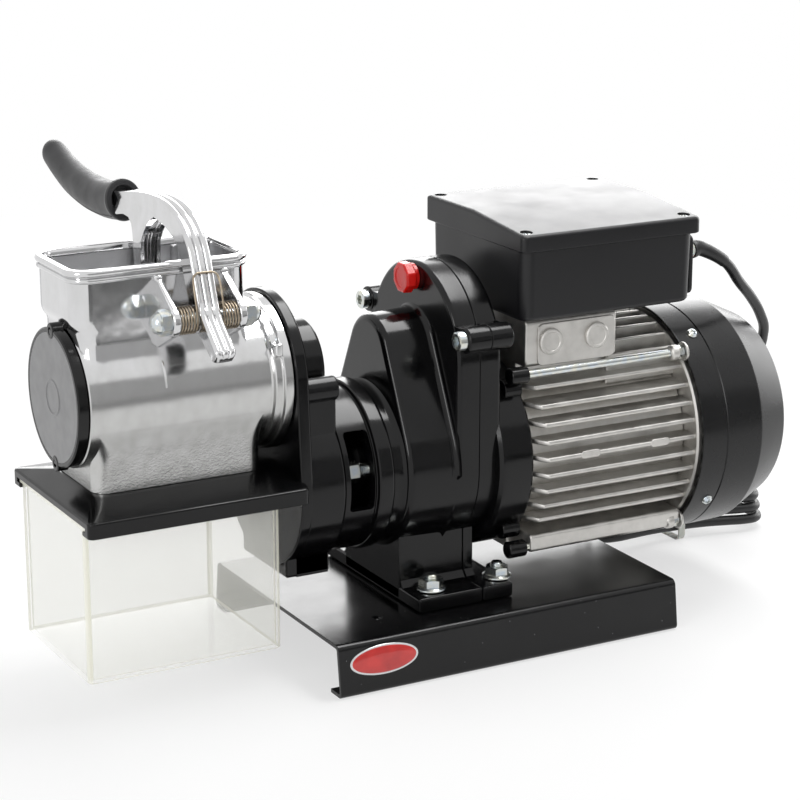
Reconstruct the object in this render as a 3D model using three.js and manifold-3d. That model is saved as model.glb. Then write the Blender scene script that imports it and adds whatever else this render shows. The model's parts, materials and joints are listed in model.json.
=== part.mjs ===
// Electric grater: a geared motor on a sheet base drives a toothed drum under a hopper.
// Millimetres, +X towards the fan cover, -Y towards the viewer, +Z up, floor at z = 0.
import * as THREE from 'three';
import { mergeVertices } from 'three/addons/utils/BufferGeometryUtils.js';
import Module from 'manifold-3d';

const wasm = await Module();
wasm.setup();

// Driving dimensions
const motorAxisZ = 112;
const axisRise = 65.6;
const drumAxisZ = motorAxisZ + axisRise;
const clearance = 0.3;
const overrun = 2;

// Sides of a round
const roundSteps = 24;
const smallSteps = 12;
const boltSteps = 8;

// Lengths along the machine's axis on either side of the gear case's seam
const seamX = 9;
const length = { upperFace: 15, tower: 32, neck: 8, band: 11, bell: 21.7, housing: 20.7, disc: 8,
  barrel: 121.7, cap: 6.7, rearCase: 15, motorFlange: 19, motor: 113, shield: 8 };
const upperFaceX = seamX - length.upperFace;
const towerFaceX = upperFaceX - length.tower;
const bandRightX = towerFaceX - length.neck;
const bandLeftX = bandRightX - length.band;
const bellLeftX = bandLeftX - length.bell;
const housingRearX = bellLeftX - 2 * clearance;
const discRightX = housingRearX - length.housing;
const discLeftX = discRightX - length.disc;
const barrelRightX = discLeftX - clearance;
const barrelLeftX = barrelRightX - length.barrel;
const capFaceX = barrelLeftX - clearance - length.cap;
const caseRearX = seamX + length.rearCase;
const motorLeftX = caseRearX + length.motorFlange;
const shieldLeftX = motorLeftX + length.motor;
const coverLeftX = shieldLeftX + length.shield;

// Sheet base, with a small drain hole in its top
const base = { leftReach: 110, rightReach: 124, width: 166, height: 31.5, sheet: 2.5, lip: 14, splay: 4,
  drainReach: 68, drainY: -52, drainRadius: 3 };

// Foot of the gear case and its bolts, measured from the seam and from the motor's axis
const foot = { leftReach: 44, rightReach: 21, halfWidth: 60, thickness: 9, wallY: 35, wallReach: 7,
  wallDrop: 20, stepDrop: 52, boltLeftReach: 29, boltRightReach: 17, boltY: 47 };
const bolt = { radius: 4, hexAcross: 13, headHeight: 5.3, nutHeight: 7, flangeRadius: 9, flangeHeight: 1.6,
  stickOut: 2.5 };

// Gears: teeth of each wheel, shares of the tooth pitch, widths and the room round a wheel
const gears = { pinionTeeth: 15, wheelTeeth: 38, drumPinionTeeth: 16, multiplierTeeth: 34, width: 9,
  wideWidth: 12, room: 1.1, sideGap: 1 };
const toothShares = { addendum: 0.26, dedendum: 0.37, tipHalf: 0.14, rootHalf: 0.3 };

// Gear case: its walls follow the wheels inside
const gearCase = { wall: 3.85, neckRadius: 48.5, bandRadius: 52, bellRadius: 50, bellWall: 6, floorInset: 1,
  flangeRadius: 61, earRadius: 8, earReach: 6, earRise: 17.9, earWebRise: 5.6, earWebInset: 16, faceWall: 4,
  rearWall: 4, plugInset: 9.6, studInset: 10, studRise: 6, studDepth: 6, windowDrop: 14, windowRise: 32,
  windowInset: 2, rodEarRadius: 7, rodEarLength: 9 };
const caseScrew = { radius: 2, headRadius: 5.8, headHeight: 3.6 };
const oilPlug = { threadRadius: 7, collarRadius: 8, collarHeight: 3.2, headRadius: 9.8, headHeight: 6.1,
  headGap: 2.8, sides: 8 };

// Shafts and bearings
const shaft = { motorRadius: 8, idlerRadius: 9, idlerJournal: 6, outputRadius: 8.5, drumRadius: 8,
  drumJournal: 6.5, hexAcross: 12, socketRadius: 12, socketDepth: 14, hexInset: 4, hexOverlap: 2 };
const bearing = { smallOuter: 13, smallWidth: 7, largeOuter: 17, largeWidth: 10 };

// Grater housing: upright disc, round gear case, lugs, lower block and the frame under the chute
const housing = { discRadius: 48, wall: 5.15, bossWall: 3.8, bossHalfWidth: 27, seatLedge: 2.7,
  bossLedge: 1.3, frontWall: 3.5, coverThickness: 3.5, lugRadius: 7.5, lugY: 38, lugRise: 60, lugWebReach: 3,
  blockHalfWidth: 30, blockTopDrop: 37, blockBottomDrop: 55, blockHoleInset: 5.2, blockHoleRadius: 2,
  plateReach: 11, plateHalfWidth: 60, plateThickness: 9.5, ledgeHeight: 6, ledgeInset: 16, ledgeSlope: 25,
  railHeight: 2.5, stubWall: 4 };

// Polished body: barrel, chute, hopper and ears
const body = { barrelRadius: 41, barrelWall: 5, ringReach: 5, ringWidth: 6, shoulderReach: 3,
  shoulderWidth: 11, chuteLeftInset: 5, chuteRightInset: 13.7, chuteHalfWidth: 32, chuteDrop: 50.3, wall: 3,
  chuteCorner: 6, hopperLeftReach: 3.5, hopperRightInset: 20.2, hopperHalfWidth: 30.5, hopperRise: 77.4,
  hopperBaseRise: 27.4, hopperStepRise: 44.4, hopperFloorRise: 36.4, hopperCorner: 11, beadReach: 2.5,
  beadHeight: 4, throatHalfWidth: 24, throatLeftInset: 8, throatCorner: 3, earThickness: 4, earRadius: 8.5,
  earAbove: 23, earBelow: 7, earWebHalf: 7.8, earWebInset: 2.5 };
const plateTopZ = drumAxisZ - body.chuteDrop - clearance - housing.ledgeHeight;
const plateBottomZ = plateTopZ - housing.plateThickness;
const plateLeftX = barrelLeftX - housing.plateReach;
const chuteLeftX = barrelLeftX + body.chuteLeftInset;
const chuteRightX = barrelRightX - body.chuteRightInset;
const hopperLeftX = barrelLeftX - body.hopperLeftReach;
const hopperRightX = barrelRightX - body.hopperRightInset;
const hopperTopZ = drumAxisZ + body.hopperRise;
const throatLeftX = barrelLeftX + body.throatLeftInset;

// Lever, its pivot in front of the hopper, and its spring
const lever = { pivotReach: 19.5, pivotRise: 48.4, midInset: 36, width: 13, coilLength: 10.8, rodRadius: 4,
  hubRadius: 8, armHalf: 6, tailHalf: 4.5, legHalf: 4.5, legOffset: 3, gripRadius: 12, gripTipRadius: 8,
  gripSteps: 11, gripSides: 12, tangHalf: 3, tangLength: 24 };
const acorn = { hexLength: 6, domeLength: 5, across: 13, threadDepth: 5.5 };
const spring = { wireRadius: 0.6, coilRadius: 7.4, turns: 5.25, stepsPerTurn: 8, sides: 5, bailRise: 22,
  bailCorner: 3.6, legGap: 1 };
const pivotY = -body.hopperHalfWidth - lever.pivotReach;
const pivotZ = drumAxisZ + lever.pivotRise;
const leverX = hopperRightX - lever.midInset;

// Lever outline from its pivot: y as a share of the pivot's distance from the middle of the hopper,
// z as a share of the hopper rim's height above the pivot
const leverShares = {
  arm: [[0.1, 0.41], [0.16, 0.9], [0.22, 1.24], [0.42, 1.55], [0.76, 1.76], [1.16, 1.83], [1.6, 1.76],
    [2, 1.69], [2.28, 1.62]],
  tail: [[0.12, 0.62], [-0.06, 0.24], [-0.24, -0.17], [-0.5, -0.62]],
  grip: [[2.3, 1.59], [2.76, 1.48], [3.24, 1.48], [3.8, 1.59], [4.24, 1.79], [4.66, 2.07]],
};
const legTopShares = [1.44, 1.72];
const gripShares = { flatness: 0.85, roundStart: 0.9, roundEnd: 1.015 };
const acornShares = [[0, 1], [0.25, 0.97], [0.5, 0.88], [0.75, 0.69], [1, 0.26]];

// Presser plate in the hopper
const presser = { frontRadius: 41, backGap: 5, rise: 0.5, thickness: 12, sideGap: 1, legInset: 3.5 };

// End cap and drum
const cap = { inset: 1, bossRadius: 18, bossDepth: 11, earRadius: 4.5, earInset: 2, faceWall: 3.7 };
const drum = { gap: 3, leftInset: 16, rows: 24, toothHeight: 2, rightGap: 6 };
const drumToothShares = [0, 0.35, 0.42];

// Clear collecting box under the frame, and the rails that its flange slides in
const tray = { leftInset: 1, rightReach: 1.5, halfWidth: 49, depth: 91.5, wall: 2, flange: 3.8,
  flangeThickness: 2.4, endGap: 2.5, sideGap: 0.7 };
const trayLeftX = plateLeftX + tray.leftInset;
const trayRightX = chuteRightX + tray.rightReach;

// Motor frame: fins at the sides, pad for the terminal box, shallow fins on top
const motor = { bore: 50, wall: 5, finReach: 67, finPitch: 11, finThickness: 3, finTaper: 0.12, finPairs: 4,
  padHalfWidth: 48, padRise: 60, padNeck: 36, padLength: 65, topFinY: 10, topFinPairs: 3, topFinReach: 66,
  rodY: 50, rodZ: 54.5, rodRadius: 2.6, nutRadius: 4.4, ribHalfWidth: 28, ribDrop: 62 };
const stator = { leftInset: 21, rightInset: 24, wall: 17.9, windingInner: 34, windingOuter: 46,
  windingReach: 12 };
const rotor = { airGap: 1, backRadius: 7, stickOut: 1 };
const shield = { radius: 70, thickness: 7, rimWidth: 5, rimWall: 9, hubRadius: 22, hubDepth: 8 };
const fan = { leftInset: 14, hubRadius: 13, hubLength: 20, discThickness: 2, discRadius: 42, radius: 60,
  blades: 8, bladeThickness: 2.4, bladeWidth: 15, bladeRoot: 8 };
const cover = { radius: 74, shoulderLength: 39, shoulderRadius: 73, length: 66, endRadius: 60, sheet: 1.6,
  slots: 12, slotInner: 20, slotOuter: 50, slotWidth: 5 };

// Terminal box, the plate on its end and what it holds
const box = { leftReach: 6, rightReach: 3, halfWidth: 56, rise: 87.3, height: 42.7, wall: 3, corner: 8,
  lidReach: 2.5, lidThickness: 10, lidCorner: 4, holeHalf: 14, plateThickness: 3, plateHalfWidth: 50,
  plateMargin: 3 };
const boxLeftX = motorLeftX - box.leftReach;
const boxRightX = shieldLeftX + box.rightReach;
const boxBottomZ = motorAxisZ + box.rise;
const boxTopZ = boxBottomZ + box.height;
const inside = { gap: 14, sideGap: 3, capacitorRadius: 17, capacitorLength: 62, blockLength: 40,
  blockWidth: 16, blockHeight: 14 };
const rocker = { midY: 22, halfWidth: 6.5, height: 20, depth: 5, frame: 2.5, dish: 2.2 };

// Cord: gland, free run, hank and tail
const cord = { radius: 3.4, sides: 8, glandY: -26, glandRise: 24.7 };
const gland = { hexRadius: 8, hexLength: 4.5, noseRadius: 6, noseLength: 10.5, boreRadius: 2, bottom: 3.4 };
const hank = { loops: 4, stepsPerLoop: 24, sides: 6, midX: 232, midY: 68, halfLength: 68, halfWidth: 36,
  rise: 7.8, spread: 1.2, tilt: -0.06 };
const hankShares = { squareness: 0.8, waist: 0.36 };
const cordRoute = { runSteps: 26, tailSteps: 12,
  run: [[203, -26, 214], [221, -19, 197], [236, -12, 184], [248, -6, 171], [258, 2, 156], [263, 24, 118],
    [266, 44, 78], [264, 60, 52]],
  tail: [[205, 88, 6], [186, 98, 5.5], [165, 108, 5.5], [142, 117, 8], [124, 121, 15], [118, 121, 15]] };
const plug = { radius: 14.8, length: 34, pinLength: 19, pinRadius: 2.4, pinSpread: 9.5, neckRadius: 6,
  neckLength: 14 };
const plugShares = [[0, 1], [0.3, 1], [0.75, 0.75], [1, 0.5]];
const tie = { width: 4.8, thickness: 1.4, gap: 0.9 };

// Materials
const finishes = {
  blackSheet: { color: 0x141416, roughness: 0.35, metalness: 0.1 },
  blackCast: { color: 0x0e0e10, roughness: 0.22, metalness: 0.1 },
  polished: { color: 0xc9ccd0, roughness: 0.18, metalness: 1 },
  rawCast: { color: 0x9c9a94, roughness: 0.55, metalness: 0.8 },
  zinc: { color: 0xcfd3d4, roughness: 0.3, metalness: 1 },
  steel: { color: 0x8f9296, roughness: 0.35, metalness: 1 },
  stainless: { color: 0xb8bcc0, roughness: 0.25, metalness: 1 },
  bronzeWire: { color: 0xa58a62, roughness: 0.35, metalness: 0.9 },
  darkPlastic: { color: 0x2b2b2d, roughness: 0.5, metalness: 0 },
  capPlastic: { color: 0x4a4b4d, roughness: 0.45, metalness: 0 },
  redPlastic: { color: 0xd8120f, roughness: 0.3, metalness: 0 },
  softGrip: { color: 0x333338, roughness: 0.6, metalness: 0 },
  copper: { color: 0xa85a32, roughness: 0.5, metalness: 0.8 },
  laminated: { color: 0x6c6e70, roughness: 0.6, metalness: 0.8 },
  palePlastic: { color: 0xdcdcd6, roughness: 0.5, metalness: 0 },
  clearPlastic: { color: 0xeef0e6, roughness: 0.1, metalness: 0, transparent: true, opacity: 0.35 },
  blackRubber: { color: 0x151515, roughness: 0.5, metalness: 0 },
};

const parts = new THREE.Group();
const cordNames = new Set(['cord_run', 'cord_hank', 'cord_tail', 'cord_plug', 'cable_tie']);
const sides = [-1, 1];

// A closed geometry as a solid, turned inside out first when its faces point inwards
function solidOf(geometry) {
  const bare = geometry.clone();
  bare.deleteAttribute('normal');
  bare.deleteAttribute('uv');
  const merged = mergeVertices(bare);
  const position = merged.getAttribute('position');
  const index = Uint32Array.from(merged.getIndex().array);
  const corner = [new THREE.Vector3(), new THREE.Vector3(), new THREE.Vector3()];
  let volume = 0;
  for (let i = 0; i < index.length; i += 3) {
    corner.forEach((point, k) => point.fromBufferAttribute(position, index[i + k]));
    volume += corner[0].dot(corner[1].clone().cross(corner[2]));
  }
  if (volume < 0) index.reverse();
  const mesh = new wasm.Mesh({
    numProp: 3,
    vertProperties: Float32Array.from(position.array),
    triVerts: index,
  });
  return new wasm.Manifold(mesh);
}

function join(...solids) {
  return solids.reduce((whole, next) => whole.add(next));
}

function cut(whole, ...tools) {
  return tools.reduce((rest, tool) => rest.subtract(tool), whole);
}

function addPart(name, solid, finish) {
  const data = solid.getMesh();
  const geometry = new THREE.BufferGeometry();
  const places = Float32Array.from(data.vertProperties);
  geometry.setAttribute('position', new THREE.BufferAttribute(places, data.numProp));
  geometry.setIndex(new THREE.BufferAttribute(Uint32Array.from(data.triVerts), 1));
  geometry.computeVertexNormals();
  const mesh = new THREE.Mesh(geometry, new THREE.MeshStandardMaterial(finishes[finish]));
  mesh.name = name;
  parts.add(mesh);
}

function flat(y, z) {
  return new THREE.Vector2(y, z);
}

// Outlines are lists of points; on a prism along X they hold y and z
function circle(y, z, radius, steps = roundSteps) {
  const points = [];
  for (let i = 0; i < steps; i += 1) {
    const angle = (2 * Math.PI * i) / steps;
    points.push(flat(y + radius * Math.cos(angle), z + radius * Math.sin(angle)));
  }
  return points;
}

function hexagon(y, z, across) {
  return circle(y, z, across / Math.sqrt(3), 6);
}

// Two circles, one above the other, and the straight walls that touch both
function pear(lowZ, lowRadius, highZ, highRadius, steps = smallSteps) {
  const lean = Math.asin((lowRadius - highRadius) / (highZ - lowZ));
  const points = [];
  for (let i = 0; i <= steps; i += 1) {
    const angle = lean + ((Math.PI - 2 * lean) * i) / steps;
    points.push(flat(highRadius * Math.cos(angle), highZ + highRadius * Math.sin(angle)));
  }
  for (let i = 0; i <= steps; i += 1) {
    const angle = Math.PI - lean + ((Math.PI + 2 * lean) * i) / steps;
    points.push(flat(lowRadius * Math.cos(angle), lowZ + lowRadius * Math.sin(angle)));
  }
  return points;
}

function roundedBox(x0, x1, y0, y1, radius, steps = 3) {
  const corners = [[x1 - radius, y1 - radius], [x0 + radius, y1 - radius], [x0 + radius, y0 + radius],
    [x1 - radius, y0 + radius]];
  const points = [];
  corners.forEach(([x, y], quarter) => {
    for (let i = 0; i <= steps; i += 1) {
      const angle = (Math.PI / 2) * (quarter + i / steps);
      points.push(flat(x + radius * Math.cos(angle), y + radius * Math.sin(angle)));
    }
  });
  return points;
}

// A strip of one half width along a centre line
function ribbon(line, half) {
  const left = [];
  const right = [];
  line.forEach((point, i) => {
    const before = line[Math.max(i - 1, 0)];
    const after = line[Math.min(i + 1, line.length - 1)];
    const along = new THREE.Vector2().subVectors(after, before).normalize();
    const across = flat(-along.y, along.x).multiplyScalar(half);
    left.push(point.clone().add(across));
    right.unshift(point.clone().sub(across));
  });
  return left.concat(right);
}

function extruded(points, depth) {
  return new THREE.ExtrudeGeometry(new THREE.Shape(points), { depth, bevelEnabled: false, steps: 1 });
}

// Outline of y and z, drawn out along X
function prismX(points, x0, x1) {
  const turn = new THREE.Matrix4().makeBasis(new THREE.Vector3(0, 1, 0), new THREE.Vector3(0, 0, 1),
    new THREE.Vector3(1, 0, 0));
  return solidOf(extruded(points, x1 - x0).applyMatrix4(turn).translate(x0, 0, 0));
}

// Outline of x and z, drawn out along Y
function prismY(points, y0, y1) {
  const turn = new THREE.Matrix4().makeBasis(new THREE.Vector3(1, 0, 0), new THREE.Vector3(0, 0, 1),
    new THREE.Vector3(0, -1, 0));
  return solidOf(extruded(points, y1 - y0).applyMatrix4(turn).translate(0, y1, 0));
}

// Outline of x and y, drawn out along Z
function prismZ(points, z0, z1) {
  return solidOf(extruded(points, z1 - z0).translate(0, 0, z0));
}

function rodX(x0, x1, radius, y = 0, z = motorAxisZ, steps = roundSteps) {
  return prismX(circle(y, z, radius, steps), x0, x1);
}

function block(x0, x1, y0, y1, z0, z1) {
  const geometry = new THREE.BoxGeometry(x1 - x0, y1 - y0, z1 - z0);
  return solidOf(geometry.translate((x0 + x1) / 2, (y0 + y1) / 2, (z0 + z1) / 2));
}

// Profile of [x, radius] pairs turned about an axis along X
function turnedX(profile, z, steps = roundSteps) {
  const points = profile.map(([x, radius]) => flat(radius, x));
  const geometry = new THREE.LatheGeometry(points, steps);
  return solidOf(geometry.rotateZ(-Math.PI / 2).translate(0, 0, z));
}

function ringX(x0, x1, inner, outer, z, steps = smallSteps) {
  return turnedX([[x0, inner], [x1, inner], [x1, outer], [x0, outer], [x0, inner]], z, steps);
}

// The pitch of a pair follows the distance between the axes, so any tooth counts mesh
function gearSizes(teeth, mateTeeth) {
  const pitchRadius = (axisRise * teeth) / (teeth + mateTeeth);
  const pitch = (2 * Math.PI * pitchRadius) / teeth;
  const { addendum, dedendum } = toothShares;
  return { root: pitchRadius - pitch * dedendum, tip: pitchRadius + pitch * addendum };
}

function gearOutline(teeth, mateTeeth, z, phase) {
  const { root, tip } = gearSizes(teeth, mateTeeth);
  const { rootHalf, tipHalf } = toothShares;
  const points = [];
  for (let i = 0; i < teeth; i += 1) {
    [[root, -rootHalf], [tip, -tipHalf], [tip, tipHalf], [root, rootHalf]].forEach(([radius, share]) => {
      const angle = phase + (2 * Math.PI * (i + share)) / teeth;
      points.push(flat(radius * Math.cos(angle), z + radius * Math.sin(angle)));
    });
  }
  return points;
}

const toothUp = Math.PI / 2;
const toothDown = -Math.PI / 2;
function gapDown(teeth) {
  return -Math.PI / 2 + Math.PI / teeth;
}
function gapUp(teeth) {
  return Math.PI / 2 + Math.PI / teeth;
}

// Inner and outer radii of the cases that follow from the wheels inside
const wheelCavity = gearSizes(gears.wheelTeeth, gears.pinionTeeth).tip + gears.room;
const pinionCavity = gearSizes(gears.pinionTeeth, gears.wheelTeeth).tip + gears.room;
const multiplierCavity = gearSizes(gears.multiplierTeeth, gears.drumPinionTeeth).tip + gears.room;
const drumPinionCavity = gearSizes(gears.drumPinionTeeth, gears.multiplierTeeth).tip + gears.room;
const gearCaseRadius = wheelCavity + gearCase.wall;
const towerRadius = pinionCavity + gearCase.wall;
const housingRadius = multiplierCavity + housing.wall;
const bossRadius = drumPinionCavity + housing.bossWall;
const plugZ = drumAxisZ + gearCaseRadius - gearCase.plugInset;
const earY = gearCaseRadius + gearCase.earReach;
const earZ = drumAxisZ + gearCase.earRise;
const studY = gearCase.bellRadius - gearCase.bellWall - gearCase.studInset;
const bellFloorX = bandLeftX + gearCase.floorInset;
const footBottomZ = base.height + clearance;
const footTopZ = footBottomZ + foot.thickness;

// Planes of the gear train
const wheelLeftX = seamX + gears.sideGap;
const wheelRightX = wheelLeftX + gears.width;
const rearWebX = caseRearX - gearCase.rearWall;
const towerSeatX = towerFaceX + gearCase.faceWall;
const towerShoulderX = towerSeatX + bearing.smallWidth + 2 * clearance;

// Sheet base: a channel with splayed sides and lips turned in at the floor
function makeBase() {
  const top = base.width / 2;
  const low = top + base.splay;
  const t = base.sheet;
  const lipTop = low - t * (1 + base.splay / base.height);
  const half = [[top, base.height], [low, 0], [low - base.lip, 0], [low - base.lip, t], [lipTop, t],
    [top - t, base.height - t]];
  const outline = half.map(([y, z]) => flat(y, z));
  const mirrored = half.map(([y, z]) => flat(-y, z)).reverse();
  const channel = prismX(outline.concat(mirrored), seamX - base.leftReach, seamX + base.rightReach);
  const holeBottom = base.height - t - overrun;
  const holes = boltPlaces().map(([x, y]) => prismZ(circle(x, y, bolt.radius + clearance, boltSteps),
    holeBottom, base.height + overrun));
  const drain = prismZ(circle(seamX - base.drainReach, base.drainY, base.drainRadius, boltSteps), holeBottom,
    base.height + overrun);
  addPart('base_plate', cut(channel, ...holes, drain), 'blackSheet');
}

function boltPlaces() {
  return [seamX - foot.boltLeftReach, seamX + foot.boltRightReach].flatMap((x) => sides.map(
    (side) => [x, side * foot.boltY]));
}

// Bolt from below, with its flange nut on the foot
function makeFootBolts() {
  const sheetUnder = base.height - base.sheet - clearance;
  const nutBottom = footTopZ + clearance;
  const nutTop = nutBottom + bolt.nutHeight;
  boltPlaces().forEach(([x, y], i) => {
    const head = prismZ(hexagon(x, y, bolt.hexAcross), sheetUnder - bolt.headHeight, sheetUnder);
    const shank = prismZ(circle(x, y, bolt.radius, boltSteps), sheetUnder - bolt.headHeight / 2,
      nutTop + bolt.stickOut);
    const flange = prismZ(circle(x, y, bolt.flangeRadius, smallSteps), nutBottom,
      nutBottom + bolt.flangeHeight);
    const hex = prismZ(hexagon(x, y, bolt.hexAcross), nutBottom + bolt.flangeHeight / 2, nutTop);
    addPart(`foot_bolt_${i + 1}`, join(head, shank, flange, hex), 'zinc');
  });
}

// Foot and the wall that carries the gear case, between two places along X
function footSolid(x0, x1) {
  const flange = block(x0, x1, -foot.halfWidth, foot.halfWidth, footBottomZ, footTopZ);
  const holes = boltPlaces().map(([x, y]) => prismZ(circle(x, y, bolt.radius + clearance, boltSteps),
    footBottomZ - overrun, footTopZ + overrun));
  const wallRight = Math.min(x1, seamX + foot.wallReach);
  const wall = block(x0, wallRight, -foot.wallY, foot.wallY, footBottomZ, motorAxisZ - foot.wallDrop);
  return cut(join(flange, wall), ...holes);
}

// Ear for a case screw, with the web that joins it to the case
function earSolid(side, x0, x1) {
  const y = side * earY;
  const ear = rodX(x0, x1, gearCase.earRadius, y, earZ, smallSteps);
  const inner = side * (earY - gearCase.earWebInset);
  const web = block(x0, x1, Math.min(y, inner), Math.max(y, inner), earZ - gearCase.earRadius,
    earZ + gearCase.earWebRise);
  return join(ear, web);
}

function screwHoles(x0, x1) {
  return sides.map((side) => rodX(x0, x1, caseScrew.radius + clearance, side * earY, earZ, boltSteps));
}

// Front half of the gear case: upper round face, tower, neck, band and bell
function makeGearCaseFront() {
  const split = seamX - clearance / 2;
  const upper = prismX(pear(motorAxisZ, gearCaseRadius, drumAxisZ, gearCaseRadius), upperFaceX, split);
  const tower = prismX(pear(motorAxisZ, gearCaseRadius, drumAxisZ, towerRadius), towerFaceX,
    upperFaceX + overrun);
  const neck = rodX(bandRightX - overrun, towerFaceX + overrun, gearCase.neckRadius);
  const band = rodX(bandLeftX, bandRightX, gearCase.bandRadius);
  const bell = rodX(bellLeftX, bandLeftX + overrun, gearCase.bellRadius);
  const ears = sides.map((side) => earSolid(side, upperFaceX, split));
  const shell = join(upper, tower, neck, band, bell, ...ears, footSolid(seamX - foot.leftReach, split));

  const bearingStop = towerSeatX + bearing.smallWidth + clearance;
  const hollowRight = split + overrun;
  const upperHollow = prismX(pear(motorAxisZ, wheelCavity, drumAxisZ, wheelCavity),
    upperFaceX + gearCase.faceWall, hollowRight);
  const towerHollow = prismX(pear(motorAxisZ, wheelCavity, drumAxisZ, pinionCavity), bearingStop,
    hollowRight);
  const idlerSeat = rodX(towerSeatX, bearingStop + overrun, bearing.smallOuter + clearance, 0, drumAxisZ,
    smallSteps);
  const bellHollow = rodX(bellLeftX - overrun, bellFloorX, gearCase.bellRadius - gearCase.bellWall);
  const shaftBore = rodX(bellFloorX - overrun, bearingStop + overrun, bearing.largeOuter + clearance, 0,
    motorAxisZ, smallSteps);
  const windowY = gearCase.bellRadius + overrun;
  const window = block(bellLeftX + gearCase.faceWall, bandLeftX - gearCase.windowInset, -windowY, windowY,
    motorAxisZ - gearCase.windowDrop, motorAxisZ + gearCase.windowRise);
  const plugHole = rodX(upperFaceX - overrun, upperFaceX + gearCase.faceWall + overrun,
    oilPlug.threadRadius + clearance, 0, plugZ, smallSteps);
  const studEnd = bellFloorX + gearCase.studDepth + clearance;
  const studHoles = sides.map((side) => rodX(bellFloorX - overrun, studEnd,
    bolt.radius + clearance, side * studY, motorAxisZ + gearCase.studRise, boltSteps));
  addPart('gear_case_front', cut(shell, upperHollow, towerHollow, idlerSeat, bellHollow, shaftBore, window,
    plugHole, ...studHoles, ...screwHoles(upperFaceX - overrun, hollowRight)), 'blackCast');
}

function rodPlaces() {
  return [[-1, 1], [1, 1], [1, -1], [-1, -1]].map(([y, z]) => [y * motor.rodY, motorAxisZ + z * motor.rodZ]);
}

// Rear half: closes the gear space and carries the motor on a round flange
function makeGearCaseRear() {
  const split = seamX + clearance / 2;
  const upper = prismX(pear(motorAxisZ, gearCaseRadius, drumAxisZ, gearCaseRadius), split, caseRearX);
  const flange = rodX(rearWebX, motorLeftX, gearCase.flangeRadius);
  const seatRight = rearWebX + bearing.smallWidth + clearance;
  const boss = rodX(rearWebX, seatRight + gearCase.rearWall, bearing.smallOuter + gearCase.rearWall, 0,
    drumAxisZ, smallSteps);
  const ears = sides.map((side) => earSolid(side, split, caseRearX + overrun));
  const rodEarX = motorLeftX - gearCase.rodEarLength;
  const rodEars = rodPlaces().map(([y, z]) => {
    const arm = prismX(ribbon([flat(0, motorAxisZ), flat(y, z)], gearCase.rodEarRadius), rodEarX, motorLeftX);
    return join(arm, rodX(rodEarX, motorLeftX, gearCase.rodEarRadius, y, z, smallSteps));
  });
  const footRight = seamX + foot.rightReach;
  const step = block(split, footRight, -foot.wallY, foot.wallY, motorAxisZ - foot.stepDrop,
    motorAxisZ - foot.wallDrop);
  const shell = join(upper, flange, boss, step, ...ears, ...rodEars, footSolid(split, footRight));

  const hollow = prismX(pear(motorAxisZ, wheelCavity, drumAxisZ, wheelCavity), split - overrun, rearWebX);
  const idlerSeat = rodX(rearWebX - overrun, seatRight, bearing.smallOuter + clearance, 0, drumAxisZ,
    smallSteps);
  const windings = rodX(rearWebX + bearing.largeWidth, motorLeftX + overrun, motor.bore);
  const motorSeat = rodX(rearWebX - overrun, motorLeftX, bearing.largeOuter + clearance, 0, motorAxisZ,
    smallSteps);
  const rodHoles = rodPlaces().map(([y, z]) => rodX(motorLeftX - gearCase.rodEarLength / 2,
    motorLeftX + overrun, motor.rodRadius + clearance, y, z, boltSteps));
  addPart('gear_case_rear', cut(shell, hollow, idlerSeat, windings, motorSeat,
    ...screwHoles(split - overrun, caseRearX), ...rodHoles), 'blackCast');
}

// Screws that close the gear case, one in each ear
function makeCaseScrews() {
  const headX = upperFaceX - clearance;
  sides.forEach((side, i) => {
    const head = rodX(headX - caseScrew.headHeight, headX, caseScrew.headRadius, side * earY, earZ,
      smallSteps);
    const shank = rodX(headX - caseScrew.headHeight / 2, caseRearX - overrun, caseScrew.radius, side * earY,
      earZ, boltSteps);
    addPart(`case_screw_${i + 1}`, join(head, shank), 'zinc');
  });
}

// Eight-sided screw plug with a collar
function makeOilPlug() {
  const face = upperFaceX - clearance;
  const collar = rodX(face - oilPlug.collarHeight, face, oilPlug.collarRadius, 0, plugZ, smallSteps);
  const headRight = face - oilPlug.headGap;
  const head = prismX(circle(0, plugZ, oilPlug.headRadius, oilPlug.sides), headRight - oilPlug.headHeight,
    headRight);
  const thread = rodX(headRight, upperFaceX + gearCase.faceWall, oilPlug.threadRadius, 0, plugZ, smallSteps);
  addPart('oil_plug', join(collar, head, thread), 'redPlastic');
}

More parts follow.
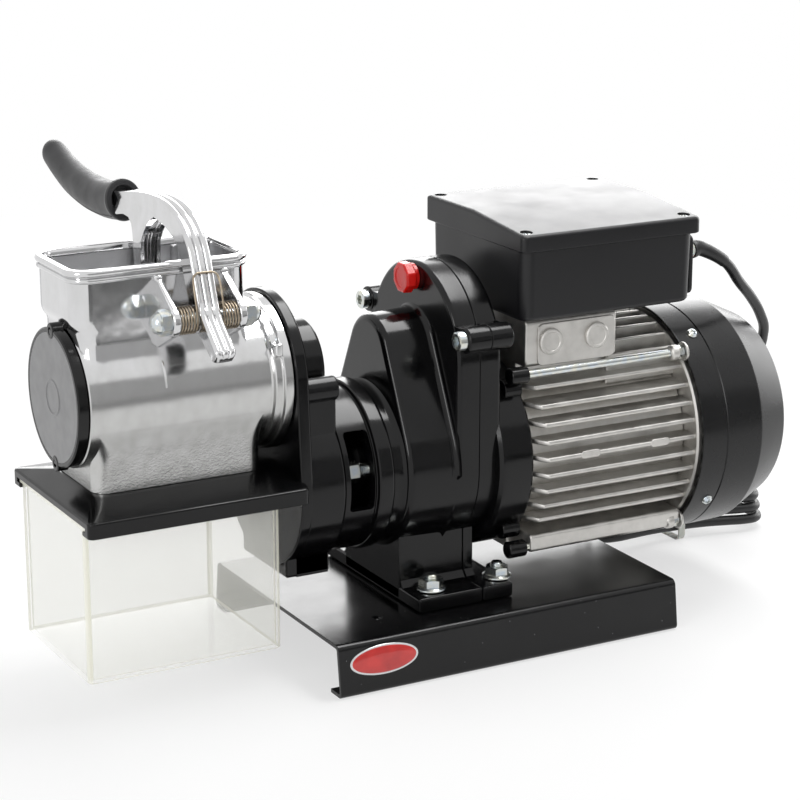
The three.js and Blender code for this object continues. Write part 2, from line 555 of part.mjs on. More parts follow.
// First reduction's wheel on the idler shaft, whose own pinion drives the output wheel
function makeIdler() {
  const wheel = prismX(gearOutline(gears.wheelTeeth, gears.pinionTeeth, drumAxisZ,
    gapDown(gears.wheelTeeth)), wheelLeftX, wheelRightX);
  const bore = rodX(wheelLeftX - overrun, wheelRightX + overrun, shaft.idlerRadius + clearance, 0, drumAxisZ,
    smallSteps);
  addPart('idler_gear', cut(wheel, bore), 'steel');

  const seatLeft = towerSeatX + clearance;
  const shoulderLeft = seatLeft + bearing.smallWidth + clearance;
  const seatRight = rearWebX + bearing.smallWidth;
  const shoulderRight = rearWebX - clearance;
  const { idlerRadius, idlerJournal } = shaft;
  const spindle = turnedX([[seatLeft, 0], [seatLeft, idlerJournal], [shoulderLeft, idlerJournal],
    [shoulderLeft, idlerRadius], [shoulderRight, idlerRadius], [shoulderRight, idlerJournal],
    [seatRight, idlerJournal], [seatRight, 0]], drumAxisZ, smallSteps);
  const pinion = prismX(gearOutline(gears.pinionTeeth, gears.wheelTeeth, drumAxisZ, toothDown),
    shoulderLeft + clearance, shoulderLeft + gears.wideWidth);
  addPart('idler_shaft', join(spindle, pinion), 'steel');

  const journalBore = idlerJournal + clearance;
  addPart('idler_bearing_front', ringX(seatLeft, seatLeft + bearing.smallWidth, journalBore,
    bearing.smallOuter, drumAxisZ), 'steel');
  addPart('idler_bearing_rear', ringX(rearWebX, seatRight, journalBore, bearing.smallOuter, drumAxisZ),
    'steel');
}

// Output wheel on a shaft that ends in a hexagon socket inside the bell
function makeOutput() {
  const gearLeft = towerShoulderX + clearance;
  const gearRight = gearLeft + gears.wideWidth - clearance;
  const wheel = prismX(gearOutline(gears.wheelTeeth, gears.pinionTeeth, motorAxisZ,
    gapUp(gears.wheelTeeth)), gearLeft, gearRight);
  const bore = rodX(gearLeft - overrun, gearRight + overrun, shaft.outputRadius + clearance, 0, motorAxisZ,
    smallSteps);
  addPart('output_gear', cut(wheel, bore), 'steel');

  const socketRight = bellFloorX - clearance;
  const socketLeft = socketRight - shaft.socketDepth;
  const { socketRadius, outputRadius } = shaft;
  const spindle = turnedX([[socketLeft, 0], [socketLeft, socketRadius], [socketRight, socketRadius],
    [socketRight, outputRadius], [gearRight, outputRadius], [gearRight, 0]], motorAxisZ, smallSteps);
  const socket = prismX(hexagon(0, motorAxisZ, shaft.hexAcross + 2 * clearance), socketLeft - overrun,
    socketRight - shaft.hexInset / 2);
  addPart('output_shaft', cut(spindle, socket), 'steel');

  const rear = towerShoulderX - clearance;
  const split = rear - bearing.largeWidth;
  const journalBore = outputRadius + clearance;
  addPart('output_bearing_rear', ringX(split, rear, journalBore, bearing.largeOuter, motorAxisZ), 'steel');
  addPart('output_bearing_front', ringX(split - bearing.largeWidth - clearance, split - clearance,
    journalBore, bearing.largeOuter, motorAxisZ), 'steel');
}

// Frame under the chute, with rails and a pocket for the collecting box's flange
function frameSolid() {
  const joinX = discLeftX + overrun;
  const rim = block(plateLeftX, joinX, -housing.plateHalfWidth, housing.plateHalfWidth, plateBottomZ,
    plateTopZ);
  const low = housing.plateHalfWidth;
  const high = low - housing.ledgeSlope;
  const ledgeTop = plateTopZ + housing.ledgeHeight;
  const ledge = prismX([flat(-low, plateTopZ - overrun), flat(low, plateTopZ - overrun), flat(high, ledgeTop),
    flat(-high, ledgeTop)], plateLeftX + housing.ledgeInset, joinX);
  return join(rim, ledge);
}

function frameCuts() {
  const left = plateLeftX - overrun;
  const right = trayRightX + tray.endGap;
  const railTop = plateBottomZ + housing.railHeight;
  const pocketHalf = tray.halfWidth + tray.flange + tray.sideGap;
  const pocket = block(left, right, -pocketHalf, pocketHalf, railTop,
    railTop + tray.flangeThickness + 2 * clearance);
  const slotHalf = tray.halfWidth + 2 * clearance;
  const slot = block(left, right, -slotHalf, slotHalf, plateBottomZ - overrun, railTop + clearance);
  const throatHalf = body.chuteHalfWidth - body.wall;
  const throat = block(chuteLeftX + body.wall, chuteRightX - body.wall, -throatHalf, throatHalf, railTop,
    plateTopZ + housing.ledgeHeight + overrun);
  return [pocket, slot, throat];
}

// Cast housing of the grater: upright disc, round gear case and the frame
function makeHousing() {
  const backX = discRightX - overrun;
  const disc = prismX(pear(motorAxisZ, housingRadius, drumAxisZ, housing.discRadius), discLeftX, discRightX);
  const caseLow = rodX(backX, housingRearX, housingRadius);
  const boss = rodX(backX, housingRearX, bossRadius, 0, drumAxisZ);
  const neck = block(backX, housingRearX, -housing.bossHalfWidth, housing.bossHalfWidth, motorAxisZ,
    drumAxisZ);
  const lugTop = motorAxisZ + housing.lugRise;
  const lugs = sides.map((side) => {
    const lug = rodX(backX, housingRearX, housing.lugRadius, side * housing.lugY, lugTop, smallSteps);
    const inner = side * (housing.lugY - 2 * housing.lugRadius);
    const outer = side * (housing.lugY + housing.lugWebReach);
    return join(lug, block(backX, housingRearX, Math.min(inner, outer), Math.max(inner, outer), motorAxisZ,
      lugTop));
  });
  const lowBlock = block(discLeftX + overrun, housingRearX, -housing.blockHalfWidth, housing.blockHalfWidth,
    motorAxisZ - housing.blockBottomDrop, motorAxisZ - housing.blockTopDrop);
  const shell = join(disc, caseLow, boss, neck, ...lugs, lowBlock, frameSolid());

  const cavityLeft = discRightX + housing.frontWall;
  const rear = housingRearX + overrun;
  const gearSpace = rodX(cavityLeft, rear, multiplierCavity);
  const bossSpace = rodX(cavityLeft, rear, drumPinionCavity, 0, drumAxisZ);
  const coverLeft = housingRearX - housing.coverThickness - clearance;
  const seatLow = rodX(coverLeft, rear, multiplierCavity + housing.seatLedge);
  const seatTop = rodX(coverLeft, rear, drumPinionCavity + housing.bossLedge, 0, drumAxisZ);
  const drumBore = rodX(discLeftX - overrun, cavityLeft + overrun, bearing.largeOuter + clearance, 0,
    drumAxisZ, smallSteps);
  const stubBore = rodX(discLeftX + housing.stubWall, cavityLeft + overrun, shaft.drumRadius + clearance, 0,
    motorAxisZ, smallSteps);
  const blockHole = rodX(discLeftX, housingRearX + overrun, housing.blockHoleRadius,
    housing.blockHoleInset - housing.blockHalfWidth, motorAxisZ - (housing.blockBottomDrop
      + housing.blockTopDrop) / 2, boltSteps);
  addPart('grater_housing', cut(shell, gearSpace, bossSpace, seatLow, seatTop, drumBore, stubBore, blockHole,
    ...frameCuts()), 'blackCast');

  const plateLeft = coverLeft + clearance;
  const plate = join(rodX(plateLeft, housingRearX, multiplierCavity + housing.seatLedge - clearance),
    rodX(plateLeft, housingRearX, drumPinionCavity + housing.bossLedge - clearance, 0, drumAxisZ));
  const shaftHole = rodX(coverLeft - overrun, rear, shaft.drumRadius + clearance, 0, motorAxisZ, smallSteps);
  addPart('housing_cover', cut(plate, shaftHole), 'blackCast');
}

// Large gear on a stub shaft whose hexagon turns in the output socket, and the drum shaft that it drives
function makeMultiplier() {
  const gearLeft = discRightX + housing.frontWall + clearance;
  const gearRight = gearLeft + gears.wideWidth - 2 * gears.sideGap;
  const wheel = prismX(gearOutline(gears.multiplierTeeth, gears.drumPinionTeeth, motorAxisZ, toothUp),
    gearLeft, gearRight);
  const stubLeft = discLeftX + housing.stubWall + clearance;
  const socketLeft = bellFloorX - clearance - shaft.socketDepth;
  const stub = rodX(stubLeft, socketLeft - clearance, shaft.drumRadius, 0, motorAxisZ, smallSteps);
  const hex = prismX(hexagon(0, motorAxisZ, shaft.hexAcross), socketLeft - shaft.hexOverlap,
    bellFloorX - shaft.hexInset);
  addPart('multiplier_gear', join(wheel, stub, hex), 'steel');

  const pinion = prismX(gearOutline(gears.drumPinionTeeth, gears.multiplierTeeth, drumAxisZ,
    gapDown(gears.drumPinionTeeth)), gearLeft, gearRight);
  const shaftLeft = capFaceX + cap.faceWall + clearance;
  const shoulderX = barrelLeftX + drum.leftInset;
  const right = gearRight + clearance;
  const { drumJournal, drumRadius } = shaft;
  const spindle = turnedX([[shaftLeft, 0], [shaftLeft, drumJournal], [shoulderX, drumJournal],
    [shoulderX, drumRadius], [right, drumRadius], [right, 0]], drumAxisZ, smallSteps);
  addPart('drum_shaft', join(pinion, spindle), 'steel');

  const rearRight = discRightX + housing.frontWall - clearance;
  addPart('drum_bearing_rear', ringX(rearRight - bearing.largeWidth, rearRight, drumRadius + clearance,
    bearing.largeOuter, drumAxisZ), 'steel');
  const frontLeft = barrelLeftX + clearance;
  addPart('drum_bearing_front', ringX(frontLeft, frontLeft + bearing.smallWidth, drumJournal + clearance,
    bearing.smallOuter, drumAxisZ), 'steel');
}

// Toothed drum on its shaft
function makeDrum() {
  const left = barrelLeftX + drum.leftInset + clearance;
  const right = discLeftX - drum.rightGap;
  const high = body.barrelRadius - body.barrelWall - drum.gap;
  const low = high - drum.toothHeight;
  const points = [];
  for (let i = 0; i < drum.rows; i += 1) {
    [low, high, low].forEach((radius, k) => {
      const angle = (2 * Math.PI * (i + drumToothShares[k])) / drum.rows;
      points.push(flat(radius * Math.cos(angle), drumAxisZ + radius * Math.sin(angle)));
    });
  }
  const bore = rodX(left - overrun, right + overrun, shaft.drumRadius + clearance, 0, drumAxisZ, smallSteps);
  addPart('grating_drum', cut(prismX(points, left, right), bore), 'stainless');
}

// Ears in front of the hopper that carry the lever's pivot rod
function pivotEars() {
  return sides.map((side) => {
    const innerX = leverX + side * (lever.width / 2 + lever.coilLength + 2 * clearance);
    const outerX = innerX + side * body.earThickness;
    const x0 = Math.min(innerX, outerX);
    const x1 = Math.max(innerX, outerX);
    const boss = rodX(x0, x1, body.earRadius, pivotY, pivotZ, smallSteps);
    const wallY = -body.hopperHalfWidth + overrun;
    const noseY = pivotY - body.earWebInset;
    const web = prismX([flat(noseY, pivotZ - body.earWebHalf), flat(wallY, pivotZ - body.earBelow),
      flat(wallY, pivotZ + body.earAbove), flat(noseY, pivotZ + body.earWebHalf)], x0, x1);
    return join(boss, web);
  });
}

function hopperOutline(x0, x1, half, corner) {
  return roundedBox(x0, x1, -half, half, corner);
}

// Barrel, hopper, chute and pivot ears in one polished casting
function makeBody() {
  const half = body.hopperHalfWidth;
  const stepZ = drumAxisZ + body.hopperStepRise;
  const floorZ = drumAxisZ + body.hopperFloorRise;
  const chuteBottom = drumAxisZ - body.chuteDrop;
  const barrel = rodX(barrelLeftX, barrelRightX, body.barrelRadius, 0, drumAxisZ);
  const shoulder = rodX(barrelRightX - body.shoulderWidth, barrelRightX, body.barrelRadius
    + body.shoulderReach, 0, drumAxisZ);
  const ring = rodX(barrelRightX - body.ringWidth, barrelRightX, body.barrelRadius + body.ringReach, 0,
    drumAxisZ);
  const chute = prismZ(hopperOutline(chuteLeftX, chuteRightX, body.chuteHalfWidth, body.chuteCorner),
    chuteBottom, drumAxisZ);
  const hopperLow = prismZ(hopperOutline(barrelLeftX + clearance, hopperRightX, half, body.hopperCorner),
    drumAxisZ + body.hopperBaseRise, stepZ + overrun);
  const hopper = prismZ(hopperOutline(hopperLeftX, hopperRightX, half, body.hopperCorner), stepZ, hopperTopZ);
  const reach = body.beadReach;
  const bead = prismZ(hopperOutline(hopperLeftX - reach, hopperRightX + reach, half + reach,
    body.hopperCorner + reach), hopperTopZ - body.beadHeight, hopperTopZ);
  const shell = join(barrel, shoulder, ring, chute, hopperLow, hopper, bead, ...pivotEars());

  const wall = body.wall;
  const insideRight = hopperRightX - wall;
  const bore = rodX(barrelLeftX - overrun, barrelRightX + overrun, body.barrelRadius - body.barrelWall, 0,
    drumAxisZ);
  const chuteHollow = prismZ(hopperOutline(chuteLeftX + wall, chuteRightX - wall, body.chuteHalfWidth - wall,
    body.chuteCorner - wall), chuteBottom - overrun, drumAxisZ);
  const hopperHollow = prismZ(hopperOutline(hopperLeftX + wall, insideRight, half - wall,
    body.hopperCorner - wall), stepZ, hopperTopZ + overrun);
  const hopperFloor = prismZ(hopperOutline(throatLeftX, insideRight, half - wall, body.throatCorner), floorZ,
    stepZ + overrun);
  const throat = block(throatLeftX, insideRight, -body.throatHalfWidth, body.throatHalfWidth, drumAxisZ,
    floorZ + overrun);
  const holeReach = lever.width / 2 + lever.coilLength + body.earThickness + overrun;
  const pivotHole = rodX(leverX - holeReach, leverX + holeReach, lever.rodRadius + clearance, pivotY, pivotZ,
    smallSteps);
  addPart('grater_body', cut(shell, bore, chuteHollow, hopperHollow, hopperFloor, throat, pivotHole),
    'polished');
}

function makeEndCap() {
  const right = barrelLeftX - clearance;
  const radius = body.barrelRadius - cap.inset;
  const disc = rodX(capFaceX, right, radius, 0, drumAxisZ);
  const ears = sides.map((side) => rodX(capFaceX, right, cap.earRadius, 0,
    drumAxisZ + side * (radius - cap.earInset), smallSteps));
  const bossRight = right + cap.bossDepth;
  const boss = rodX(right - overrun, bossRight, cap.bossRadius, 0, drumAxisZ, smallSteps);
  const seat = rodX(barrelLeftX, bossRight + overrun, bearing.smallOuter + clearance, 0, drumAxisZ,
    smallSteps);
  const shaftSeat = rodX(capFaceX + cap.faceWall, barrelLeftX + overrun, shaft.drumJournal + clearance, 0,
    drumAxisZ, smallSteps);
  addPart('end_cap', cut(join(disc, ...ears, boss), seat, shaftSeat), 'capPlastic');
}

// Point of the lever in the plane of its swing
function leverPoint([yShare, zShare]) {
  return flat(pivotY - pivotY * yShare, pivotZ + (hopperTopZ - pivotZ) * zShare);
}

function presserBackY() {
  return body.hopperHalfWidth - body.wall - presser.backGap;
}

function presserBottomZ() {
  return drumAxisZ + body.hopperStepRise + presser.rise;
}

function makeLever() {
  const x0 = leverX - lever.width / 2;
  const x1 = leverX + lever.width / 2;
  const arm = prismX(ribbon(leverShares.arm.map(leverPoint), lever.armHalf), x0, x1);
  const tail = prismX(ribbon(leverShares.tail.map(leverPoint), lever.tailHalf), x0, x1);
  const legTop = leverPoint(legTopShares);
  const legFoot = flat(presserBackY() - presser.legInset, presserBottomZ() + presser.thickness + clearance);
  const leg = prismX(ribbon([legTop, flat(legFoot.x + lever.legOffset, (legTop.y + legFoot.y) / 2), legFoot],
    lever.legHalf), x0, x1);
  const hub = rodX(x0, x1, lever.hubRadius, pivotY, pivotZ, smallSteps);
  const hole = rodX(x0 - overrun, x1 + overrun, lever.rodRadius + clearance, pivotY, pivotZ, smallSteps);
  const gripLine = leverShares.grip.map(leverPoint);
  const way = new THREE.Vector2().subVectors(gripLine[1], gripLine[0]).normalize();
  const tangStart = gripLine[0].clone().addScaledVector(way, -lever.armHalf);
  const tangEnd = gripLine[0].clone().addScaledVector(way, lever.tangLength);
  const tang = prismX(ribbon([tangStart, tangEnd], lever.tangHalf), leverX - lever.tangHalf,
    leverX + lever.tangHalf);
  const whole = join(arm, tail, leg, hub, tang);
  const floor = block(x0 - overrun, x1 + overrun, legFoot.x - lever.width, legFoot.x + lever.width,
    presserBottomZ(), legFoot.y);
  addPart('lever_arm', cut(whole, hole, floor), 'polished');

  const half = lever.tangHalf + clearance;
  const socketStart = gripLine[0].clone().addScaledVector(way, -overrun);
  const socketEnd = tangEnd.clone().addScaledVector(way, clearance);
  const socket = prismX(ribbon([socketStart, socketEnd], half), leverX - half, leverX + half);
  addPart('lever_grip', cut(gripSolid(gripLine), socket), 'softGrip');
}

// Flat rings of points as one closed solid
function ringsSolid(position, count) {
  const index = [];
  const last = position.length / 3 - count;
  for (let a = 0; a < last; a += count) {
    for (let k = 0; k < count; k += 1) {
      const next = a + ((k + 1) % count);
      index.push(a + k, next, next + count, a + k, next + count, a + k + count);
    }
  }
  for (let k = 1; k < count - 1; k += 1) {
    index.push(0, k + 1, k);
    index.push(last, last + k, last + k + 1);
  }
  const geometry = new THREE.BufferGeometry();
  geometry.setAttribute('position', new THREE.Float32BufferAttribute(position, 3));
  geometry.setIndex(index);
  return solidOf(geometry);
}

// Soft grip: rings of changing radius along the curved end of the lever
function gripSolid(line) {
  const curve = new THREE.CatmullRomCurve3(line.map((point) => new THREE.Vector3(leverX, point.x, point.y)));
  const { flatness, roundStart, roundEnd } = gripShares;
  const position = [];
  for (let i = 0; i <= lever.gripSteps; i += 1) {
    const share = i / lever.gripSteps;
    const centre = curve.getPointAt(share);
    const way = curve.getTangentAt(share);
    const ending = Math.max(0, share - roundStart) / (roundEnd - roundStart);
    const radius = THREE.MathUtils.lerp(lever.gripRadius, lever.gripTipRadius, share)
      * Math.sqrt(1 - ending ** 2);
    for (let k = 0; k < lever.gripSides; k += 1) {
      const angle = (2 * Math.PI * k) / lever.gripSides;
      const rise = radius * Math.sin(angle);
      position.push(centre.x + radius * flatness * Math.cos(angle), centre.y - way.z * rise,
        centre.z + way.y * rise);
    }
  }
  return ringsSolid(position, lever.gripSides);
}

// Dome nut that stands on a face, to the left or to the right of it
function domeNut(face, side) {
  const hexEnd = face + side * acorn.hexLength;
  const hex = prismX(hexagon(pivotY, pivotZ, acorn.across), Math.min(face, hexEnd), Math.max(face, hexEnd));
  const middle = face + (side * acorn.hexLength) / 2;
  const radius = acorn.across / 2;
  const dome = acornShares.map(([along, across]) => [hexEnd + side * acorn.domeLength * along,
    radius * across]);
  const tip = turnedX([[middle, 0], [middle, radius], ...dome, [hexEnd + side * acorn.domeLength, 0]], pivotZ,
    smallSteps).translate([0, pivotY, 0]);
  return join(hex, tip);
}

// Pivot rod with a fixed dome nut at its left end, and the loose dome nut at its right end
function makePivot() {
  const earOuter = lever.width / 2 + lever.coilLength + body.earThickness + 3 * clearance;
  const leftFace = leverX - earOuter;
  const rightFace = leverX + earOuter;
  const threadEnd = rightFace + acorn.threadDepth;
  const rod = rodX(leftFace - acorn.hexLength / 2, threadEnd, lever.rodRadius, pivotY, pivotZ, smallSteps);
  addPart('pivot_rod', join(rod, domeNut(leftFace, -1)), 'zinc');
  const hole = rodX(rightFace - overrun, threadEnd + clearance, lever.rodRadius + clearance, pivotY, pivotZ,
    smallSteps);
  addPart('pivot_nut', cut(domeNut(rightFace, 1), hole), 'zinc');
}

// Presser plate: its front face is an arc about the pivot, so that it swings clear of the hopper wall
function makePresser() {
  const z0 = presserBottomZ();
  const arc = [0, 0.25, 0.5, 0.75, 1].map((share) => {
    const z = z0 + presser.thickness * share;
    return flat(pivotY + Math.sqrt(presser.frontRadius ** 2 - (z - pivotZ) ** 2), z);
  });
  const back = presserBackY();
  const outline = [...arc.reverse(), flat(back, z0), flat(back, z0 + presser.thickness)];
  addPart('presser_plate', prismX(outline, throatLeftX + presser.sideGap,
    hopperRightX - body.wall - presser.sideGap), 'polished');
}

// Double torsion spring: leg, left coil, hoop over the front of the lever, right coil, leg, as one wire
function makeSpring() {
  const { coilRadius, wireRadius, turns, stepsPerTurn } = spring;
  const pitch = (lever.coilLength - 2 * wireRadius - 2 * clearance) / turns;
  const outer = lever.width / 2 + lever.coilLength + clearance - wireRadius;
  const steps = turns * stepsPerTurn;
  const coil = (side) => {
    const points = [];
    for (let i = 0; i <= steps; i += 1) {
      const angle = -Math.PI / 2 - (2 * Math.PI * i) / stepsPerTurn;
      points.push(new THREE.Vector3(leverX + side * (outer - (pitch * i) / stepsPerTurn),
        pivotY + coilRadius * Math.cos(angle), pivotZ + coilRadius * Math.sin(angle)));
    }
    return points;
  };
  const legY = -body.hopperHalfWidth - spring.legGap;
  const leg = (start) => new THREE.Vector3(start.x, legY, start.z);
  const half = (points) => [leg(points[0]), ...points, ...hoopSide(points[steps])];
  return [...half(coil(-1)), ...half(coil(1)).reverse()];
}

// One side of the hoop: up from the coil, then in over the lever's front face
function hoopSide(last) {
  const [low, high] = leverShares.arm.map(leverPoint);
  const hoopZ = pivotZ + spring.bailRise;
  const slope = (high.x - low.x) / (high.y - low.y);
  const frontY = low.x + (hoopZ - low.y) * slope - lever.armHalf * Math.hypot(1, slope);
  const y = frontY - spring.wireRadius - 2 * clearance;
  const inward = Math.sign(leverX - last.x);
  const cornerZ = hoopZ - spring.bailCorner;
  return [new THREE.Vector3(last.x, (last.y + y) / 2, (last.z + cornerZ) / 2),
    new THREE.Vector3(last.x, y, cornerZ),
    new THREE.Vector3(last.x + inward * spring.bailCorner, y, hoopZ)];
}

function leastGap(points, radius, skip) {
  let least = Infinity;
  for (let i = 0; i < points.length; i += 1) {
    for (let k = i + skip; k < points.length; k += 1) {
      least = Math.min(least, points[i].distanceTo(points[k]) - 2 * radius);
    }
  }
  return least;
}

// One unbroken round wire through a list of points
function wireThrough(points, radius, count) {
  const position = [];
  let reference = new THREE.Vector3(1, 0, 0);
  points.forEach((point, i) => {
    const before = points[Math.max(i - 1, 0)];
    const after = points[Math.min(i + 1, points.length - 1)];
    const way = new THREE.Vector3().subVectors(after, before).normalize();
    const normal = reference.clone().addScaledVector(way, -reference.dot(way)).normalize();
    if (i === 0 && Math.abs(way.x) > Math.SQRT1_2) normal.set(0, 0, 1);
    reference = normal.clone();
    const across = new THREE.Vector3().crossVectors(way, normal);
    for (let k = 0; k < count; k += 1) {
      const angle = (2 * Math.PI * k) / count;
      const rim = point.clone().addScaledVector(normal, radius * Math.cos(angle))
        .addScaledVector(across, radius * Math.sin(angle));
      position.push(rim.x, rim.y, rim.z);
    }
  });
  return ringsSolid(position, count);
}

// Clear box that hangs by its flange in the rails of the frame
function makeTray() {
  const low = plateBottomZ + housing.railHeight + clearance;
  const top = low + tray.flangeThickness;
  const floorZ = low - tray.depth;
  const half = tray.halfWidth;
  const outer = block(trayLeftX, trayRightX, -half, half, floorZ, top);
  const flange = block(trayLeftX, trayRightX, -half - tray.flange, half + tray.flange, low, top);
  const hollow = block(trayLeftX + tray.wall, trayRightX - tray.wall, -half + tray.wall, half - tray.wall,
    floorZ + tray.wall, top + overrun);
  addPart('collecting_box', cut(join(outer, flange), hollow), 'clearPlastic');
}

// Finned frame: fins lie flat on both sides and reach to a circle about the axis
function makeMotorFrame() {
  const shellRadius = motor.bore + motor.wall;
  const right = [];
  for (let i = -motor.finPairs; i <= motor.finPairs; i += 1) {
    const mid = i * motor.finPitch;
    const half = motor.finThickness / 2;
    const tipHalf = half * (1 - motor.finTaper);
    const tip = Math.sqrt(motor.finReach ** 2 - mid ** 2);
    right.push(flat(Math.sqrt(shellRadius ** 2 - (mid - half) ** 2), mid - half), flat(tip, mid - tipHalf),
      flat(tip, mid + tipHalf), flat(Math.sqrt(shellRadius ** 2 - (mid + half) ** 2), mid + half));
  }
  const left = right.map((point) => flat(-point.x, point.y)).reverse();
  const outline = [...right, ...left].map((point) => flat(point.x, motorAxisZ + point.y));
  const x0 = motorLeftX + clearance;
  const x1 = shieldLeftX - clearance;
  const padRight = x0 + motor.padLength;
  const padBottom = motorAxisZ + motor.padRise;
  const rib = block(x0, x1, -motor.ribHalfWidth, motor.ribHalfWidth, motorAxisZ - motor.ribDrop, motorAxisZ);
  const neck = block(x0, padRight, -motor.padNeck, motor.padNeck, motorAxisZ, padBottom + overrun);
  const pad = block(x0, padRight, -motor.padHalfWidth, motor.padHalfWidth, padBottom, boxBottomZ - clearance);
  const topFins = [];
  for (let i = -motor.topFinPairs; i <= motor.topFinPairs; i += 1) {
    const y = i * motor.topFinY;
    topFins.push(block(padRight - overrun, x1, y - motor.finThickness / 2, y + motor.finThickness / 2,
      motorAxisZ, motorAxisZ + motor.topFinReach));
  }
  const shell = rodX(x0, x1, shellRadius);
  const bore = rodX(x0 - overrun, x1 + overrun, motor.bore);
  addPart('motor_frame', cut(join(prismX(outline, x0, x1), shell, rib, neck, pad, ...topFins), bore),
    'rawCast');
}

// Stator with its windings, the rotor with the pinion on its shaft, and the two bearings
function makeMotorInside() {
  const left = motorLeftX + stator.leftInset;
  const right = shieldLeftX - stator.rightInset;
  const outer = motor.bore - 2 * clearance;
  const inner = outer - stator.wall;
  const core = ringX(left, right, inner, outer, motorAxisZ);
  const windings = ringX(left - stator.windingReach, right + stator.windingReach, stator.windingInner,
    stator.windingOuter, motorAxisZ);
  addPart('stator', join(core, windings), 'copper');

  const rear = shieldLeftX - clearance;
  const step = rear - bearing.smallWidth;
  const start = wheelLeftX - clearance;
  const end = shieldLeftX + fan.leftInset + fan.hubLength + rotor.stickOut;
  const { motorRadius } = shaft;
  const coreRadius = inner - rotor.airGap;
  const spindle = turnedX([[start, 0], [start, motorRadius], [left, motorRadius], [left, coreRadius],
    [right, coreRadius], [right, motorRadius], [step, motorRadius], [step, rotor.backRadius],
    [end, rotor.backRadius], [end, 0]], motorAxisZ, smallSteps);
  const pinion = prismX(gearOutline(gears.pinionTeeth, gears.wheelTeeth, motorAxisZ, toothUp), wheelLeftX,
    wheelRightX);
  addPart('rotor', join(spindle, pinion), 'laminated');

  const seatLeft = rearWebX + clearance;
  addPart('motor_bearing_front', ringX(seatLeft, rearWebX + bearing.largeWidth, motorRadius + clearance,
    bearing.largeOuter, motorAxisZ), 'steel');
  addPart('motor_bearing_rear', ringX(step, rear, rotor.backRadius + clearance, bearing.smallOuter,
    motorAxisZ), 'steel');
}

// Rear end shield with rod ears, a hub for the bearing and the rim that carries the fan cover
function makeShield() {
  const x0 = shieldLeftX;
  const x1 = x0 + shield.thickness;
  const rimRadius = cover.radius - cover.sheet - clearance;
  const plate = rodX(x0, x1, shield.radius);
  const ears = rodPlaces().map(([y, z]) => rodX(x0, x1, gearCase.rodEarRadius, y, z, smallSteps));
  const rim = rodX(x1 - overrun, x1 + shield.rimWidth, rimRadius);
  const hub = rodX(x0 - shield.hubDepth, x0 + overrun, shield.hubRadius, 0, motorAxisZ, smallSteps);
  const seat = rodX(x0 - shield.hubDepth - overrun, x0, bearing.smallOuter + clearance, 0, motorAxisZ,
    smallSteps);
  const right = x1 + shield.rimWidth + overrun;
  const bore = rodX(x0 - overrun, right, rotor.backRadius + clearance, 0, motorAxisZ, smallSteps);
  const back = rodX(x1, right, rimRadius - shield.rimWall);
  const holes = rodPlaces().map(([y, z]) => rodX(x0 - overrun, right, motor.rodRadius + clearance, y, z,
    boltSteps));
  addPart('rear_shield', cut(join(plate, ...ears, rim, hub), seat, bore, back, ...holes), 'rawCast');
}

// Tie rods hold the shield to the gear case, each with its nut
function makeTieRods() {
  const nutRight = shieldLeftX - clearance;
  const nutLeft = nutRight - motor.rodRadius;
  const rodLeft = motorLeftX - gearCase.rodEarLength / 2;
  const rodRight = shieldLeftX + shield.thickness - clearance;
  rodPlaces().forEach(([y, z], i) => {
    const rod = rodX(rodLeft, rodRight, motor.rodRadius, y, z, boltSteps);
    const nut = rodX(nutLeft, nutRight, motor.nutRadius, y, z, 6);
    addPart(`tie_rod_${i + 1}`, join(rod, nut), 'zinc');
  });
}

function makeFan() {
  const x0 = shieldLeftX + fan.leftInset;
  const x1 = x0 + fan.hubLength;
  const hub = rodX(x0, x1, fan.hubRadius, 0, motorAxisZ, smallSteps);
  const disc = rodX(x0, x0 + fan.discThickness, fan.discRadius, 0, motorAxisZ, smallSteps);
  const blades = [];
  for (let i = 0; i < fan.blades; i += 1) {
    const blade = block(x0, x0 + fan.bladeWidth, fan.bladeRoot, fan.radius, -fan.bladeThickness / 2,
      fan.bladeThickness / 2);
    blades.push(blade.rotate([(360 * i) / fan.blades, 0, 0]).translate([0, 0, motorAxisZ]));
  }
  const bore = rodX(x0 - overrun, x1 + overrun, rotor.backRadius + clearance, 0, motorAxisZ, smallSteps);
  addPart('cooling_fan', cut(join(hub, disc, ...blades), bore), 'darkPlastic');
}

// Sheet fan cover with a sloping shoulder and slots in its end
function makeCover() {
  const t = cover.sheet;
  const shoulderX = coverLeftX + cover.shoulderLength;
  const endX = coverLeftX + cover.length;
  const profile = [[coverLeftX, cover.radius], [shoulderX, cover.shoulderRadius], [endX, cover.endRadius],
    [endX, 0], [endX - t, 0], [endX - t, cover.endRadius - t], [shoulderX - t / 2, cover.shoulderRadius - t],
    [coverLeftX, cover.radius - t], [coverLeftX, cover.radius]];
  const shell = turnedX(profile, motorAxisZ);
  const slots = [];
  for (let i = 0; i < cover.slots; i += 1) {
    const slot = block(endX - t - overrun, endX + overrun, cover.slotInner, cover.slotOuter,
      -cover.slotWidth / 2, cover.slotWidth / 2);
    slots.push(slot.rotate([(360 * (i + 0.5)) / cover.slots, 0, 0]).translate([0, 0, motorAxisZ]));
  }
  addPart('fan_cover', cut(shell, ...slots), 'blackSheet');
}

function glandZ() {
  return boxBottomZ + cord.glandRise;
}

function rockerZ() {
  return (boxBottomZ + boxTopZ) / 2;
}

